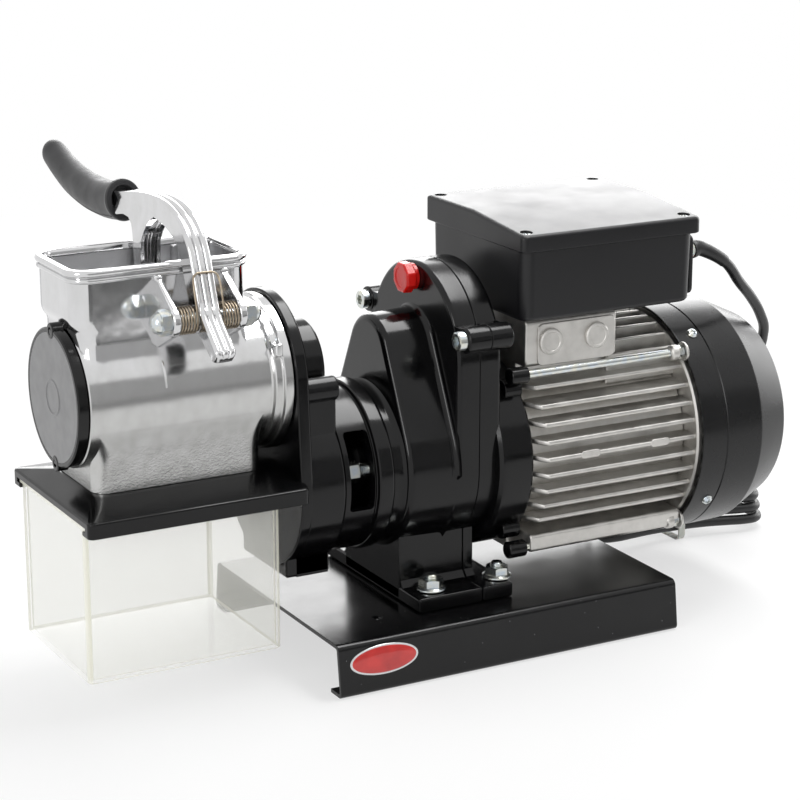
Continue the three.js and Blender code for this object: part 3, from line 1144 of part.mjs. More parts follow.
function makeTerminalBox() {
  const half = box.halfWidth;
  const wall = box.wall;
  const room = roundedBox(boxLeftX + wall, boxRightX - wall, -half + wall, half - wall, box.corner - wall);
  const shell = prismZ(roundedBox(boxLeftX, boxRightX, -half, half, box.corner), boxBottomZ, boxTopZ);
  const hollow = prismZ(room, boxBottomZ + wall, boxTopZ + overrun);
  const padMidX = motorLeftX + motor.padLength / 2;
  const wireHole = block(padMidX - box.holeHalf, padMidX + box.holeHalf, -box.holeHalf, box.holeHalf,
    boxBottomZ - overrun, boxBottomZ + wall + overrun);
  const endLeft = boxRightX - wall - overrun;
  const plateLeft = boxRightX + clearance;
  const plateRight = plateLeft + box.plateThickness;
  const faceX = plateRight + rocker.frame;
  const cordHole = rodX(endLeft, faceX, cord.radius + 2 * clearance, cord.glandY, glandZ(), smallSteps);
  const rockerHole = block(endLeft, faceX + overrun, rocker.midY - rocker.halfWidth,
    rocker.midY + rocker.halfWidth, rockerZ() - rocker.height / 2, rockerZ() + rocker.height / 2);
  addPart('terminal_box', cut(shell, hollow, wireHole, cordHole, rockerHole), 'darkPlastic');

  const reach = box.lidReach;
  const lidBottom = boxTopZ + clearance;
  const lid = prismZ(roundedBox(boxLeftX - reach, boxRightX + reach, -half - reach, half + reach,
    box.lidCorner), lidBottom, lidBottom + box.lidThickness);
  const under = prismZ(room, boxTopZ - overrun, boxTopZ + box.lidThickness - wall);
  addPart('terminal_lid', cut(lid, under), 'darkPlastic');

  const plate = block(plateLeft, plateRight, -box.plateHalfWidth, box.plateHalfWidth,
    boxBottomZ + box.plateMargin, boxTopZ - box.plateMargin);
  const frameY = rocker.halfWidth + rocker.frame;
  const frameZ = rocker.height / 2 + rocker.frame;
  const frame = block(plateRight - clearance, faceX, rocker.midY - frameY, rocker.midY + frameY,
    rockerZ() - frameZ, rockerZ() + frameZ);
  addPart('switch_plate', cut(join(plate, frame), rockerHole, cordHole), 'darkPlastic');
  makeRocker(faceX);
}

// Rocker: a round that turns in the frame, with a dished front face
function makeRocker(faceX) {
  const radius = rocker.height / 2 - clearance;
  const pivotX = faceX + rocker.depth - radius;
  const y0 = rocker.midY - rocker.halfWidth + clearance;
  const y1 = rocker.midY + rocker.halfWidth - clearance;
  const frontX = pivotX + radius;
  const dish = prismY([flat(frontX - rocker.dish, rockerZ()), flat(frontX + overrun, rockerZ() - radius),
    flat(frontX + overrun, rockerZ() + radius)], y0 - overrun, y1 + overrun);
  addPart('switch_rocker', cut(prismY(circle(pivotX, rockerZ(), radius, smallSteps), y0, y1), dish),
    'redPlastic');
}

function makeBoxInside() {
  const floor = boxBottomZ + box.wall + clearance;
  const x0 = boxLeftX + box.wall + inside.gap;
  const sideY = box.halfWidth - box.wall - inside.sideGap;
  const radius = inside.capacitorRadius;
  addPart('capacitor', rodX(x0, x0 + inside.capacitorLength, radius, sideY - radius, floor + radius,
    smallSteps), 'palePlastic');
  addPart('terminal_block', block(x0, x0 + inside.blockLength, -sideY, inside.blockWidth - sideY, floor,
    floor + inside.blockHeight), 'palePlastic');
}

// Studs seen through the windows of the bell, each with its nut
function makeBellBolts() {
  const z = motorAxisZ + gearCase.studRise;
  const nutMid = (bellLeftX + bellFloorX) / 2;
  sides.forEach((side, i) => {
    const shank = rodX(bellLeftX, bellFloorX + gearCase.studDepth, bolt.radius, side * studY, z, boltSteps);
    const nut = prismX(hexagon(side * studY, z, bolt.hexAcross), nutMid - bolt.nutHeight / 2,
      nutMid + bolt.nutHeight / 2);
    addPart(`bell_bolt_${i + 1}`, join(shank, nut), 'zinc');
  });
}

// Gland on the end plate
function makeGland() {
  const left = boxRightX + box.plateThickness + 2 * clearance;
  const right = left + gland.hexLength + gland.noseLength;
  const z = glandZ();
  const collar = rodX(left, left + gland.hexLength, gland.hexRadius, cord.glandY, z, 6);
  const nose = rodX(left, right, gland.noseRadius, cord.glandY, z, smallSteps);
  const bore = rodX(left - overrun, right - gland.bottom, gland.boreRadius, cord.glandY, z, smallSteps);
  addPart('cord_gland', cut(join(collar, nose), bore), 'palePlastic');
  return new THREE.Vector3(right + clearance, cord.glandY, z);
}

// The loose cord: free run from the gland, hank, and tail with the plug
function makeCord(glandEnd) {
  const hankPoints = hankLine();
  const straight = glandEnd.clone().setX(glandEnd.x + 2 * cord.radius);
  const route = (points) => points.map(([x, y, z]) => new THREE.Vector3(x, y, z));
  const runPoints = [glandEnd, straight, ...route(cordRoute.run), ...joinTo(hankPoints.slice().reverse())
    .reverse()];
  const tailPoints = [...joinTo(hankPoints), ...route(cordRoute.tail)];
  addPart('cord_run', tubeAlong(runPoints, cordRoute.runSteps), 'blackRubber');
  addPart('cord_hank', wireThrough(hankPoints, cord.radius, hank.sides), 'blackRubber');
  addPart('cord_tail', tubeAlong(tailPoints, cordRoute.tailSteps), 'blackRubber');
  console.log(`least gap of the hank to itself: ${leastGap(hankPoints, cord.radius, 5).toFixed(2)} mm`);
  makePlug(tailPoints[tailPoints.length - 1]);
  makeTie();
}

// Two points just off the start of a line and in line with its first stretch
function joinTo(line) {
  const way = new THREE.Vector3().subVectors(line[0], line[1]).normalize();
  const near = line[0].clone().addScaledVector(way, clearance);
  return [near, near.clone().addScaledVector(way, 2 * cord.radius)];
}

// Round cord through points; its first and last stretch are straight
function tubeAlong(points, steps) {
  const curve = new THREE.CatmullRomCurve3(points.slice(1, -1));
  const line = [points[0], ...curve.getSpacedPoints(steps), points[points.length - 1]];
  return wireThrough(line, cord.radius, cord.sides);
}

function hankFloorZ() {
  return cord.radius + tie.thickness + 2 * clearance;
}

// Loops laid on one another, drawn in at the waist
function hankLine() {
  const points = [];
  const steps = hank.loops * hank.stepsPerLoop;
  const squared = (value) => Math.sign(value) * Math.abs(value) ** hankShares.squareness;
  for (let i = 0; i <= steps; i += 1) {
    const turn = i / hank.stepsPerLoop;
    const angle = Math.PI / 2 - 2 * Math.PI * turn;
    const wide = hank.spread * turn;
    const along = (hank.halfLength - wide) * squared(Math.cos(angle));
    const pinch = hankShares.waist + (1 - hankShares.waist) * Math.cos(angle) ** 2;
    const across = (hank.halfWidth * pinch - wide) * squared(Math.sin(angle));
    points.push(new THREE.Vector3(hank.midX + along * Math.cos(hank.tilt) - across * Math.sin(hank.tilt),
      hank.midY + along * Math.sin(hank.tilt) + across * Math.cos(hank.tilt),
      hankFloorZ() + hank.rise * turn));
  }
  const beyond = (end, next) => end.clone().add(new THREE.Vector3().subVectors(end, next).setZ(0)
    .setLength(2 * cord.radius));
  return [beyond(points[0], points[1]), ...points, beyond(points[steps], points[steps - 1])];
}

// Two-pin plug at the end of the tail
function makePlug(end) {
  const neckRight = end.x - clearance;
  const neckLeft = neckRight - plug.neckLength;
  const bodyLeft = neckLeft - plug.length;
  const profile = plugShares.map(([along, across]) => [bodyLeft + plug.length * along, plug.radius * across]);
  const shell = turnedX([[bodyLeft, 0], ...profile, [neckLeft, 0]], end.z, smallSteps)
    .translate([0, end.y, 0]);
  const neck = rodX(neckLeft - overrun, neckRight, plug.neckRadius, end.y, end.z, smallSteps);
  const pins = sides.map((side) => rodX(bodyLeft - plug.pinLength, bodyLeft + overrun, plug.pinRadius,
    end.y + side * plug.pinSpread, end.z, smallSteps));
  addPart('cord_plug', join(shell, neck, ...pins), 'blackRubber');
}

// Band round the middle of the hank
function makeTie() {
  const t = tie.thickness;
  const innerY = hank.halfWidth * hankShares.waist + cord.radius + tie.gap;
  const innerTop = hankFloorZ() + hank.rise * hank.loops + cord.radius + tie.gap;
  const x0 = hank.midX - tie.width / 2;
  const x1 = hank.midX + tie.width / 2;
  const band = block(x0, x1, hank.midY - innerY - t, hank.midY + innerY + t, 0, innerTop + t);
  const opening = block(x0 - overrun, x1 + overrun, hank.midY - innerY, hank.midY + innerY, t, innerTop);
  addPart('cable_tie', cut(band, opening), 'palePlastic');
}

makeBase();
makeFootBolts();
makeGearCaseFront();
makeGearCaseRear();
makeCaseScrews();
makeOilPlug();
makeIdler();
makeOutput();
makeHousing();
makeMultiplier();
makeDrum();
makeBody();
makeEndCap();
makeLever();
makePivot();
makePresser();
const springLine = makeSpring();
addPart('lever_spring', wireThrough(springLine, spring.wireRadius, spring.sides), 'bronzeWire');
console.log(`least gap of the spring to itself: ${leastGap(springLine, spring.wireRadius, 5).toFixed(2)} mm`);
makeTray();
makeMotorFrame();
makeMotorInside();
makeShield();
makeTieRods();
makeFan();
makeCover();
makeTerminalBox();
makeBoxInside();
makeBellBolts();
makeCord(makeGland());

// The frame's origin is the bottom centre of the part without its loose cord
const bounds = new THREE.Box3();
parts.children.filter((mesh) => !cordNames.has(mesh.name)).forEach((mesh) => bounds.expandByObject(mesh));
const centre = bounds.getCenter(new THREE.Vector3());
parts.position.set(-centre.x, -centre.y, -bounds.min.z);
console.log(`shift ${parts.position.toArray().map((value) => value.toFixed(3)).join(' ')}`);

const group = new THREE.Group();
group.add(parts);
export default group;
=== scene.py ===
# %% [markdown]
# # An electric grater
# A geared motor on a folded steel base drives a toothed drum under a hopper. The solids, joints and
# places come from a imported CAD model, which stays fixed here. This script dresses that model: it gives
# every piece its real edges, small parts and finish, and it keeps each one on the body that it moves with.

# %% Load the fixed frame
import json
import math

import bmesh
import bpy
from mathutils import Matrix, Vector

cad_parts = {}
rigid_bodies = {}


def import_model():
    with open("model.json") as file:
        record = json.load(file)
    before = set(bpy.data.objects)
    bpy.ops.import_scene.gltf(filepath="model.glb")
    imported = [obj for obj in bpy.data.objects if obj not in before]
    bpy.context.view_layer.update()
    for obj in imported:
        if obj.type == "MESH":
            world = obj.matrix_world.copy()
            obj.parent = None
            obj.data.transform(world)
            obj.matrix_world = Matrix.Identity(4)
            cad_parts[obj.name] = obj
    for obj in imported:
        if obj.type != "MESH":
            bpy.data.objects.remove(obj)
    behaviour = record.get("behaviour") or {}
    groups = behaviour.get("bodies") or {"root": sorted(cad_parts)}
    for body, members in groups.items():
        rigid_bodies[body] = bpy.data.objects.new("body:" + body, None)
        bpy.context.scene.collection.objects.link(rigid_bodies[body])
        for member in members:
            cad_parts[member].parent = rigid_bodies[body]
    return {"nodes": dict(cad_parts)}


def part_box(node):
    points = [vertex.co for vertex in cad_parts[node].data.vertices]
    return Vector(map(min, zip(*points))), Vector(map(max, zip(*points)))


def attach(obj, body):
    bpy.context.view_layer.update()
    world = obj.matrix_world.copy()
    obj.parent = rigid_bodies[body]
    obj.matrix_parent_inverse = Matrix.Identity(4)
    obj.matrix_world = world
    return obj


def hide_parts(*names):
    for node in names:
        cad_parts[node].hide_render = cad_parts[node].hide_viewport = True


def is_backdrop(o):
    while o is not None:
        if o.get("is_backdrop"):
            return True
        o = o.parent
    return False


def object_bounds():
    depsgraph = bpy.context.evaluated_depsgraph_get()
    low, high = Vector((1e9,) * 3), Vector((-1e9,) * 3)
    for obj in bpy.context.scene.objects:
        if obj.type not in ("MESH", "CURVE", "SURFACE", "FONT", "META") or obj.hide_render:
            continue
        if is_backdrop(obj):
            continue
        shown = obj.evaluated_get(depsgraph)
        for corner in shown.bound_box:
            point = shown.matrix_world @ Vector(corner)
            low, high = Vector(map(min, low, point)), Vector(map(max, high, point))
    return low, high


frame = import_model()
cad_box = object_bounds()
nodes = frame["nodes"]
MM = 0.001
print("CAD nodes:", len(nodes))

# %% [markdown]
# The machine is easiest to describe from its motor: x runs along the motor's axis from the seam of the
# gear case, y is the distance to the back from that axis, and z is the height above the table. All
# sizes below are in millimetres in that system, and one function turns them into places in the frame.

# %% Places in the machine
SEAM_X = 9
SPLIT = 0.15
MOTOR_Z = 112
DRUM_Z = 177.6
case_low, case_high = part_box("gear_case_front")
ORIGIN = Vector((case_high.x - (SEAM_X - SPLIT) * MM, (case_low.y + case_high.y) / 2, 0))


def at(x, y, z):
    """A place in the machine, in millimetres, as a point of the frame."""
    return ORIGIN + Vector((x, y, z)) * MM


print("motor axis at", [round(v, 5) for v in at(0, 0, MOTOR_Z)])

# %% [markdown]
# The camera stands low and to the left, turned towards the hopper. A long lens keeps the uprights
# almost parallel, as on a catalogue photograph.

# %% Camera
IMAGE_SIZE = 800
FOCAL_PIXELS = 2420
SENSOR = 36
camera_data = bpy.data.cameras.new("camera")
camera_data.sensor_width = SENSOR
camera_data.lens = FOCAL_PIXELS * SENSOR / IMAGE_SIZE
camera_data.clip_end = 20
camera = bpy.data.objects.new("camera", camera_data)
bpy.context.scene.collection.objects.link(camera)
camera.location = at(-691.6, -1235.3, 544.7)
camera.rotation_euler = (math.radians(90 - 15.8), 0, math.radians(-28.7))
bpy.context.scene.camera = camera
bpy.context.scene.view_settings.view_transform = "Standard"

# %% [markdown]
# ## Meshes
# Cast and turned parts are all outlines drawn out along an axis or turned about one. A few helpers make
# such closed solids, join or cut them, and round their edges with a bevel, because no real casting has
# a sharp edge.

# %% Solids from outlines
def shown(name, data):
    piece = bpy.data.objects.new(name, data)
    bpy.context.scene.collection.objects.link(piece)
    return piece


def closed(bm):
    bmesh.ops.recalc_face_normals(bm, faces=bm.faces)
    mesh = bpy.data.meshes.new("solid")
    bm.to_mesh(mesh)
    bm.free()
    return shown("solid", mesh)


def through(rings, tops=None):
    """A closed solid through rings of places, all of one count; several faces may close the last ring."""
    bm = bmesh.new()
    made = [[bm.verts.new(at(*spot)) for spot in ring] for ring in rings]
    count = len(made[0])
    for low, high in zip(made, made[1:]):
        for i in range(count):
            k = (i + 1) % count
            bm.faces.new((low[i], low[k], high[k], high[i]))
    bm.faces.new(made[0])
    for corners in tops or [range(count)]:
        bm.faces.new([made[-1][i] for i in corners])
    return closed(bm)


def lofted(rings, axis="x"):
    """A closed solid through outlines: pairs of a place on the axis and an outline of the other two."""
    place = {"x": lambda a, b, c: (c, a, b), "y": lambda a, b, c: (a, c, b), "z": lambda a, b, c: (a, b, c)}[axis]
    return through([[place(a, b, c) for a, b in outline] for c, outline in rings])


def drawn(outline, start, end, axis="x"):
    return lofted([(start, outline), (end, outline)], axis)


def turned(profile, y=0, z=MOTOR_Z, steps=96):
    """A closed solid turned about an axis along x. The profile holds pairs of x and radius."""
    bm = bmesh.new()
    rings = [[bm.verts.new(at(x, y, z))] if radius == 0 else
             [bm.verts.new(at(x, a, b)) for a, b in circle(radius, y, z, steps)] for x, radius in profile]
    if profile[0][1] > 0:
        rings.append(rings[0])
    for low, high in zip(rings, rings[1:]):
        for i in range(steps):
            k = (i + 1) % steps
            corners = [low[i % len(low)], low[k % len(low)], high[k % len(high)], high[i % len(high)]]
            unique = list(dict.fromkeys(corners))
            if len(unique) > 2:
                bm.faces.new(unique)
    return closed(bm)


def circle(radius, y=0, z=0, steps=96, first=0, sweep=360):
    turn = [math.radians(first + sweep * i / steps) for i in range(steps + (sweep < 360))]
    return [(y + radius * math.cos(a), z + radius * math.sin(a)) for a in turn]


def box(x0, x1, y0, y1, z0, z1):
    return drawn([(y0, z0), (y1, z0), (y1, z1), (y0, z1)], x0, x1)


def pear(low_z, low_radius, high_z, high_radius, steps=64):
    """Two circles, one above the other, and the straight walls that touch both."""
    lean = math.degrees(math.asin((low_radius - high_radius) / (high_z - low_z)))
    top = circle(high_radius, 0, high_z, steps, lean, 180 - 2 * lean)
    bottom = circle(low_radius, 0, low_z, steps, 180 - lean, 180 + 2 * lean)
    return top + bottom


def rounded_box(a0, a1, b0, b1, radius, steps=8):
    corners = [(a1 - radius, b1 - radius), (a0 + radius, b1 - radius), (a0 + radius, b0 + radius),
               (a1 - radius, b0 + radius)]
    return [spot for quarter, (a, b) in enumerate(corners) for spot in circle(radius, a, b, steps, 90 * quarter, 90)]


# %% [markdown]
# A modifier describes a change and keeps the mesh as it was. Here each one is settled into the mesh at
# once, so that the next cut or bevel works on real faces.

# %% Joining, cutting and rounding
def settle(piece):
    bpy.context.view_layer.update()
    graph = bpy.context.evaluated_depsgraph_get()
    old = piece.data
    piece.data = bpy.data.meshes.new_from_object(piece.evaluated_get(graph), depsgraph=graph)
    piece.modifiers.clear()
    bpy.data.meshes.remove(old)
    return piece


def edged(piece, width, segments=3, angle=30):
    """Rounds every edge sharper than an angle."""
    change = piece.modifiers.new("edges", "BEVEL")
    change.width = width * MM
    change.segments = segments
    change.limit_method = "ANGLE"
    change.angle_limit = math.radians(angle)
    change.use_clamp_overlap = True
    return settle(piece)


def worked(piece, tool, operation):
    change = piece.modifiers.new(operation, "BOOLEAN")
    change.operation = operation
    change.solver = "EXACT"
    change.object = tool
    settle(piece)
    bpy.data.objects.remove(tool)
    return piece


def joined(*pieces):
    """Puts closed solids that overlap into one mesh, as the forms of one casting."""
    whole = pieces[0]
    bm = bmesh.new()
    for piece in pieces:
        bm.from_mesh(piece.data)
    bm.to_mesh(whole.data)
    bm.free()
    for piece in pieces[1:]:
        bpy.data.objects.remove(piece)
    return whole


def cut(whole, *tools):
    for tool in tools:
        worked(whole, tool, "DIFFERENCE")
    return whole


def smooth(piece, angle=32):
    """Shades round faces smoothly and keeps flat faces flat."""
    piece.data.shade_smooth()
    piece.data.set_sharp_from_angle(angle=math.radians(angle))
    change = piece.modifiers.new("flat faces", "WEIGHTED_NORMAL")
    change.keep_sharp = True
    return piece


def finished(piece, name, body, material, stands_for=(), angle=32):
    """Names a piece, gives it its finish and lets it ride on its body."""
    piece.name = name
    piece.data.name = name
    piece.data.materials.clear()
    piece.data.materials.append(material)
    smooth(piece, angle)
    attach(piece, body)
    if stands_for:
        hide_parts(*stands_for)
    return piece

# %% [markdown]
# ## Finishes
# Each finish starts from what the surface is. Colours are written as the hex values that a screen
# shows, and one function turns them into the linear values that light is worked out in. Patterns use
# the place in the frame, in metres, so that their grain keeps its real size on every piece.

# %% Colour and node helpers
def linear(hex_value):
    channels = [((hex_value >> shift) & 255) / 255 for shift in (16, 8, 0)]
    return tuple(c / 12.92 if c <= 0.04045 else ((c + 0.055) / 1.055) ** 2.4 for c in channels) + (1,)


def add(tree, kind, inputs=None, **settings):
    """Adds a node with its settings; an input is a value or another node's output."""
    node = tree.nodes.new(kind)
    for name, value in settings.items():
        setattr(node, name, value)
    for name, value in (inputs or {}).items():
        if isinstance(value, bpy.types.NodeSocket):
            tree.links.new(value, node.inputs[name])
        else:
            node.inputs[name].default_value = value
    return node


def grained(tree, grain, detail=2.0, stretch=(1, 1, 1)):
    """A pattern in the places of the frame whose blotches are about one grain wide, in millimetres."""
    places = tree.nodes["Texture Coordinate"].outputs["Object"]
    moved = add(tree, "ShaderNodeMapping", {"Vector": places, "Scale": stretch})
    settings = {"Vector": moved.outputs["Vector"], "Scale": 1 / (grain * MM), "Detail": detail}
    return add(tree, "ShaderNodeTexNoise", settings).outputs["Fac"]


# Nearly all values of a noise lie between these two
MIDDLE = {"From Min": 0.3, "From Max": 0.7}


def finish(name, colour, roughness, metallic=0.0, ior=1.5, relief=(), rough=None, tint=None, **sockets):
    """A material with one surface node. Each layer of relief is a grain, its detail, a depth in
    millimetres and, if it isn't even, a stretch. Grain, detail and two limits vary roughness and tint."""
    made = bpy.data.materials.new(name)
    made.use_nodes = True
    tree = made.node_tree
    surface = tree.nodes["Principled BSDF"].inputs
    values = {"Base_Color": linear(colour), "Roughness": roughness, "Metallic": metallic, "IOR": ior, **sockets}
    for socket, value in values.items():
        surface[socket.replace("_", " ")].default_value = value
    add(tree, "ShaderNodeTexCoord")
    for grain, detail, depth, *stretch in relief:
        bump = add(tree, "ShaderNodeBump", {"Height": grained(tree, grain, detail, *stretch), "Strength": 1.0,
                                            "Distance": depth * MM})
        if surface["Normal"].links:
            tree.links.new(surface["Normal"].links[0].from_socket, bump.inputs["Normal"])
        tree.links.new(bump.outputs["Normal"], surface["Normal"])
    if rough:
        limits = {"Value": grained(tree, *rough[:2]), **MIDDLE, "To Min": rough[2], "To Max": rough[3]}
        tree.links.new(add(tree, "ShaderNodeMapRange", limits).outputs["Result"], surface["Roughness"])
    if tint:
        share = add(tree, "ShaderNodeMapRange", {"Value": grained(tree, *tint[:2]), **MIDDLE}).outputs["Result"]
        colours = {0: share, 6: linear(tint[2]), 7: linear(tint[3])}
        tree.links.new(add(tree, "ShaderNodeMix", colours, data_type="RGBA").outputs[2], surface["Base Color"])
    return made


# %% [markdown]
# The folded base is mild steel sheet with a gloss black powder coat. Powder melts into a skin with a
# faint orange peel, about 2 mm from hill to hill, and a few specks of dust lie on it.

# %% Powder-coated sheet steel
COAT_BLACK = 0x0A0A0B
powder_coat = finish("powder_coated_steel", COAT_BLACK, 0.2, ior=1.4, relief=[(2.2, 3, 0.012)],
                     rough=(25, 3, 0.16, 0.26))
tree = powder_coat.node_tree
places = tree.nodes["Texture Coordinate"].outputs["Object"]
specks = add(tree, "ShaderNodeTexVoronoi", {"Vector": places, "Scale": 1 / (7 * MM)}).outputs["Distance"]
dust = add(tree, "ShaderNodeMapRange", {"Value": specks, "From Min": 0.03, "From Max": 0.05, "To Min": 1,
                                        "To Max": 0})
colours = {0: dust.outputs["Result"], 6: linear(COAT_BLACK), 7: linear(0x77777A)}
tree.links.new(add(tree, "ShaderNodeMix", colours, data_type="RGBA").outputs[2],
               tree.nodes["Principled BSDF"].inputs["Base Color"])

# %% [markdown]
# The gear case and the grater's housing are aluminium castings under gloss black enamel. The enamel
# rounds every edge and follows the slightly uneven casting, so reflections wander a little.

# %% Enamelled cast aluminium
enamel = finish("enamelled_casting", 0x070708, 0.14, ior=1.38, relief=[(14, 2, 0.05), (1.6, 3, 0.012)],
                rough=(30, 3, 0.1, 0.24))

# %% [markdown]
# The hopper, barrel, chute and lever are aluminium castings polished on a wheel. Polishing leaves long
# waves that bend the reflections, cloudy patches, and small pits. Low on the chute, near the black frame,
# the wheel didn't reach: there the skin of the casting still shows as a grit of about a millimetre. The
# metal is dull further up than the grit goes. Roughness stays under 0.27, so that even the dull places
# still mirror the room. Over the same low band the colour is painted darker, 0xBCBCBA below 172 mm
# against 0xD6D6D7 above 204 mm: that is painted shade on the lower half of barrel and chute.

# %% Wheel-polished cast aluminium
polished = finish("polished_cast_aluminium", 0xD0D0D1, 0.13, 1.0, relief=[(22, 2, 0.22)])
tree = polished.node_tree
surface = tree.nodes["Principled BSDF"].inputs
places = tree.nodes["Texture Coordinate"].outputs["Object"]
height = add(tree, "ShaderNodeSeparateXYZ", {"Vector": places}).outputs["Z"]
# Two height bands: grit low on the chute, and below 204 mm a band that is dull in roughness and painted darker in
# colour as painted shade
gritty, dull_and_painted_shade = [add(tree, "ShaderNodeMapRange", {"Value": height, "From Min": low * MM, "From Max": high * MM,
                                                 "To Min": 1, "To Max": 0}).outputs["Result"]
                for low, high in ((122, 158), (172, 204))]
grit = add(tree, "ShaderNodeMath", {0: grained(tree, 1.2, 3), 1: gritty}, operation="MULTIPLY").outputs["Value"]
clouds = grained(tree, 8, 6, (1, 1, 0.6))
for layer, depth in ((grit, 0.16), (clouds, 0.03)):
    bump = add(tree, "ShaderNodeBump", {"Height": layer, "Strength": 1.0, "Distance": depth * MM,
                                        "Normal": surface["Normal"].links[0].from_socket})
    tree.links.new(bump.outputs["Normal"], surface["Normal"])
ranges = []
for cloudy, low, high in ((0.35, 0.1, 0.27), (0.4, 0, 1)):
    patches = add(tree, "ShaderNodeMapRange", {"Value": clouds, **MIDDLE, "To Min": 0, "To Max": cloudy})
    both = add(tree, "ShaderNodeMath", {0: patches.outputs["Result"], 1: dull_and_painted_shade}, operation="ADD")
    ranges.append(add(tree, "ShaderNodeMapRange", {"Value": both.outputs["Value"], "From Min": 0,
                                                   "From Max": 1 + cloudy, "To Min": low, "To Max": high}))
tree.links.new(ranges[0].outputs["Result"], surface["Roughness"])
# Painted shade: the colour darkens towards the bottom with the dull band; the clouds vary it at random
colours = {0: ranges[1].outputs["Result"], 6: linear(0xD6D6D7), 7: linear(0xBCBCBA)}
tree.links.new(add(tree, "ShaderNodeMix", colours, data_type="RGBA").outputs[2], surface["Base Color"])

# %% [markdown]
# The wheel doesn't reach everywhere round the hopper. Its back wall was only blasted: an even mid grey
# without mirror images, which catches light from the whole opening.

# %% Blasted cast aluminium
blasted = finish("blasted_cast_aluminium", 0xC2C2C4, 0.5, 1.0, relief=[(1.0, 3, 0.02)], rough=(12, 3, 0.38, 0.58))

# %% [markdown]
# The motor's frame is bare die-cast aluminium. It comes from the die with a satin, slightly warm grey
# skin, grainy at about a millimetre and mottled where the metal cooled.

# %% Bare die-cast aluminium
die_cast = finish("bare_die_casting", 0xCBC9C5, 0.42, 1.0, relief=[(0.9, 3, 0.03)], rough=(8, 4, 0.34, 0.52),
                  tint=(8, 4, 0xC0BEBA, 0xD4D2CE))

# %% [markdown]
# Nuts, bolts and screws are steel with bright zinc plating: silver with a cold blue cast that turns
# faintly yellow in places. The lever's spring is music wire with a bronze-coloured temper skin.

# %% Zinc-plated steel and spring wire
zinc = finish("zinc_plated_steel", 0xCDD3D8, 0.24, 1.0, relief=[(0.8, 2, 0.01)], tint=(4, 3, 0xC4CDD6, 0xD9D8CB))
spring_wire = finish("tempered_spring_wire", 0x9A8E7C, 0.28, 1.0, tint=(3, 2, 0x8A7C6A, 0xAA9E8C))

# %% [markdown]
# Shafts, gears and bearings are machined steel with a light film of oil. The drum is stainless sheet and
# the rotor's core a stack of dark sheets. All are darker than aluminium, and the core is the dullest.
# Turning and stacking leave marks that run one way, which the stretch of each pattern draws.

# %% Machined, stainless and laminated steel
machined = finish("machined_steel", 0x8C9095, 0.28, 1.0, relief=[(1.0, 2, 0.01, (8, 1, 1))])
stainless = finish("stainless_steel", 0xB4B8BC, 0.2, 1.0, relief=[(1.0, 2, 0.01, (1, 6, 6))])
laminated = finish("laminated_core_steel", 0x5D6064, 0.5, 1.0, relief=[(0.5, 1, 0.05, (1, 0.05, 0.05))])

# %% [markdown]
# The terminal box, its lid and the switch plate are dark grey ABS, moulded with an eroded texture that
# scatters light: each grain is about 0.4 mm, drawn at 0.7 mm so that it can show. The fan cover is
# deep-drawn steel sheet with a satin black stoving paint, smoother than the powder.

# %% Textured ABS and satin stoving paint
abs_plastic = finish("textured_abs", 0x161618, 0.34, ior=1.42, relief=[(0.7, 2, 0.03)], rough=(40, 3, 0.3, 0.4))
satin_paint = finish("satin_stoved_steel", 0x0C0C0D, 0.28, ior=1.42, relief=[(1.2, 3, 0.012)],
                     rough=(35, 3, 0.22, 0.32))

# %% [markdown]
# The end cap is a glass-filled nylon moulding: satin dark grey on its face and glossier on its rim.

# %% Glass-filled nylon
cap_nylon = finish("cap_nylon", 0x7A7A7B, 0.34, relief=[(1.0, 3, 0.015)], tint=(10, 3, 0x737374, 0x818182))
rim_nylon = finish("rim_nylon", 0x090909, 0.18, ior=1.4, relief=[(1.0, 3, 0.01)])

# %% [markdown]
# The oil plug and the switch are signal red plastic, moulded in a polished tool. A little light goes
# into the plastic and comes out again, which keeps its shadows warm. The grip is a soft thermoplastic
# rubber sleeve: matt, with a faint nap that lightens its edges.

# %% Signal red plastic and soft-touch rubber
red_plastic = finish("signal_red_plastic", 0xD4140E, 0.24, relief=[(1.5, 2, 0.01)], Subsurface_Weight=0.08)
grip_rubber = finish("soft_touch_rubber", 0x1D1D1F, 0.46, relief=[(0.9, 3, 0.02)], rough=(12, 3, 0.42, 0.58),
                     Sheen_Weight=0.12, Sheen_Roughness=0.4)

# %% [markdown]
# The collecting box is cast acrylic: almost nothing of a 2 mm wall shows but a breath of yellow and the
# gloss of its faces. An even low alpha draws that; bending light inside walls this thin would only add
# dark lines that the real box doesn't have.

# %% Clear acrylic
acrylic = finish("clear_acrylic", 0xFDFDF6, 0.05, ior=1.35, relief=[(30, 1, 0.05)], Alpha=0.2)
acrylic_edge = finish("flame_polished_edge", 0xF6F5E4, 0.15, ior=1.4, relief=[(6, 1, 0.05)], Alpha=0.6)

# %% [markdown]
# The cord's sheath is satin black PVC rubber. The gland, the tie and the parts inside the terminal box
# are natural nylon, an off-white that is slightly waxy. The stator's windings are enamelled copper.

# %% Sheath rubber, nylon and copper
sheath = finish("cord_sheath", 0x131314, 0.4, relief=[(0.8, 2, 0.01)])
nylon = finish("natural_nylon", 0xDAD9D1, 0.4, relief=[(1.0, 2, 0.01)], Subsurface_Weight=0.1)
copper = finish("enamelled_copper", 0xB0612F, 0.35, 1.0, relief=[(0.9, 1, 0.08, (1, 0.1, 0.1))])
black_plastic = finish("moulded_black_plastic", 0x161617, 0.35, relief=[(1.0, 2, 0.01)])

# %% [markdown]
# The badge is an oval under a clear resin dome, with a bright metal rim. It is left plain red.

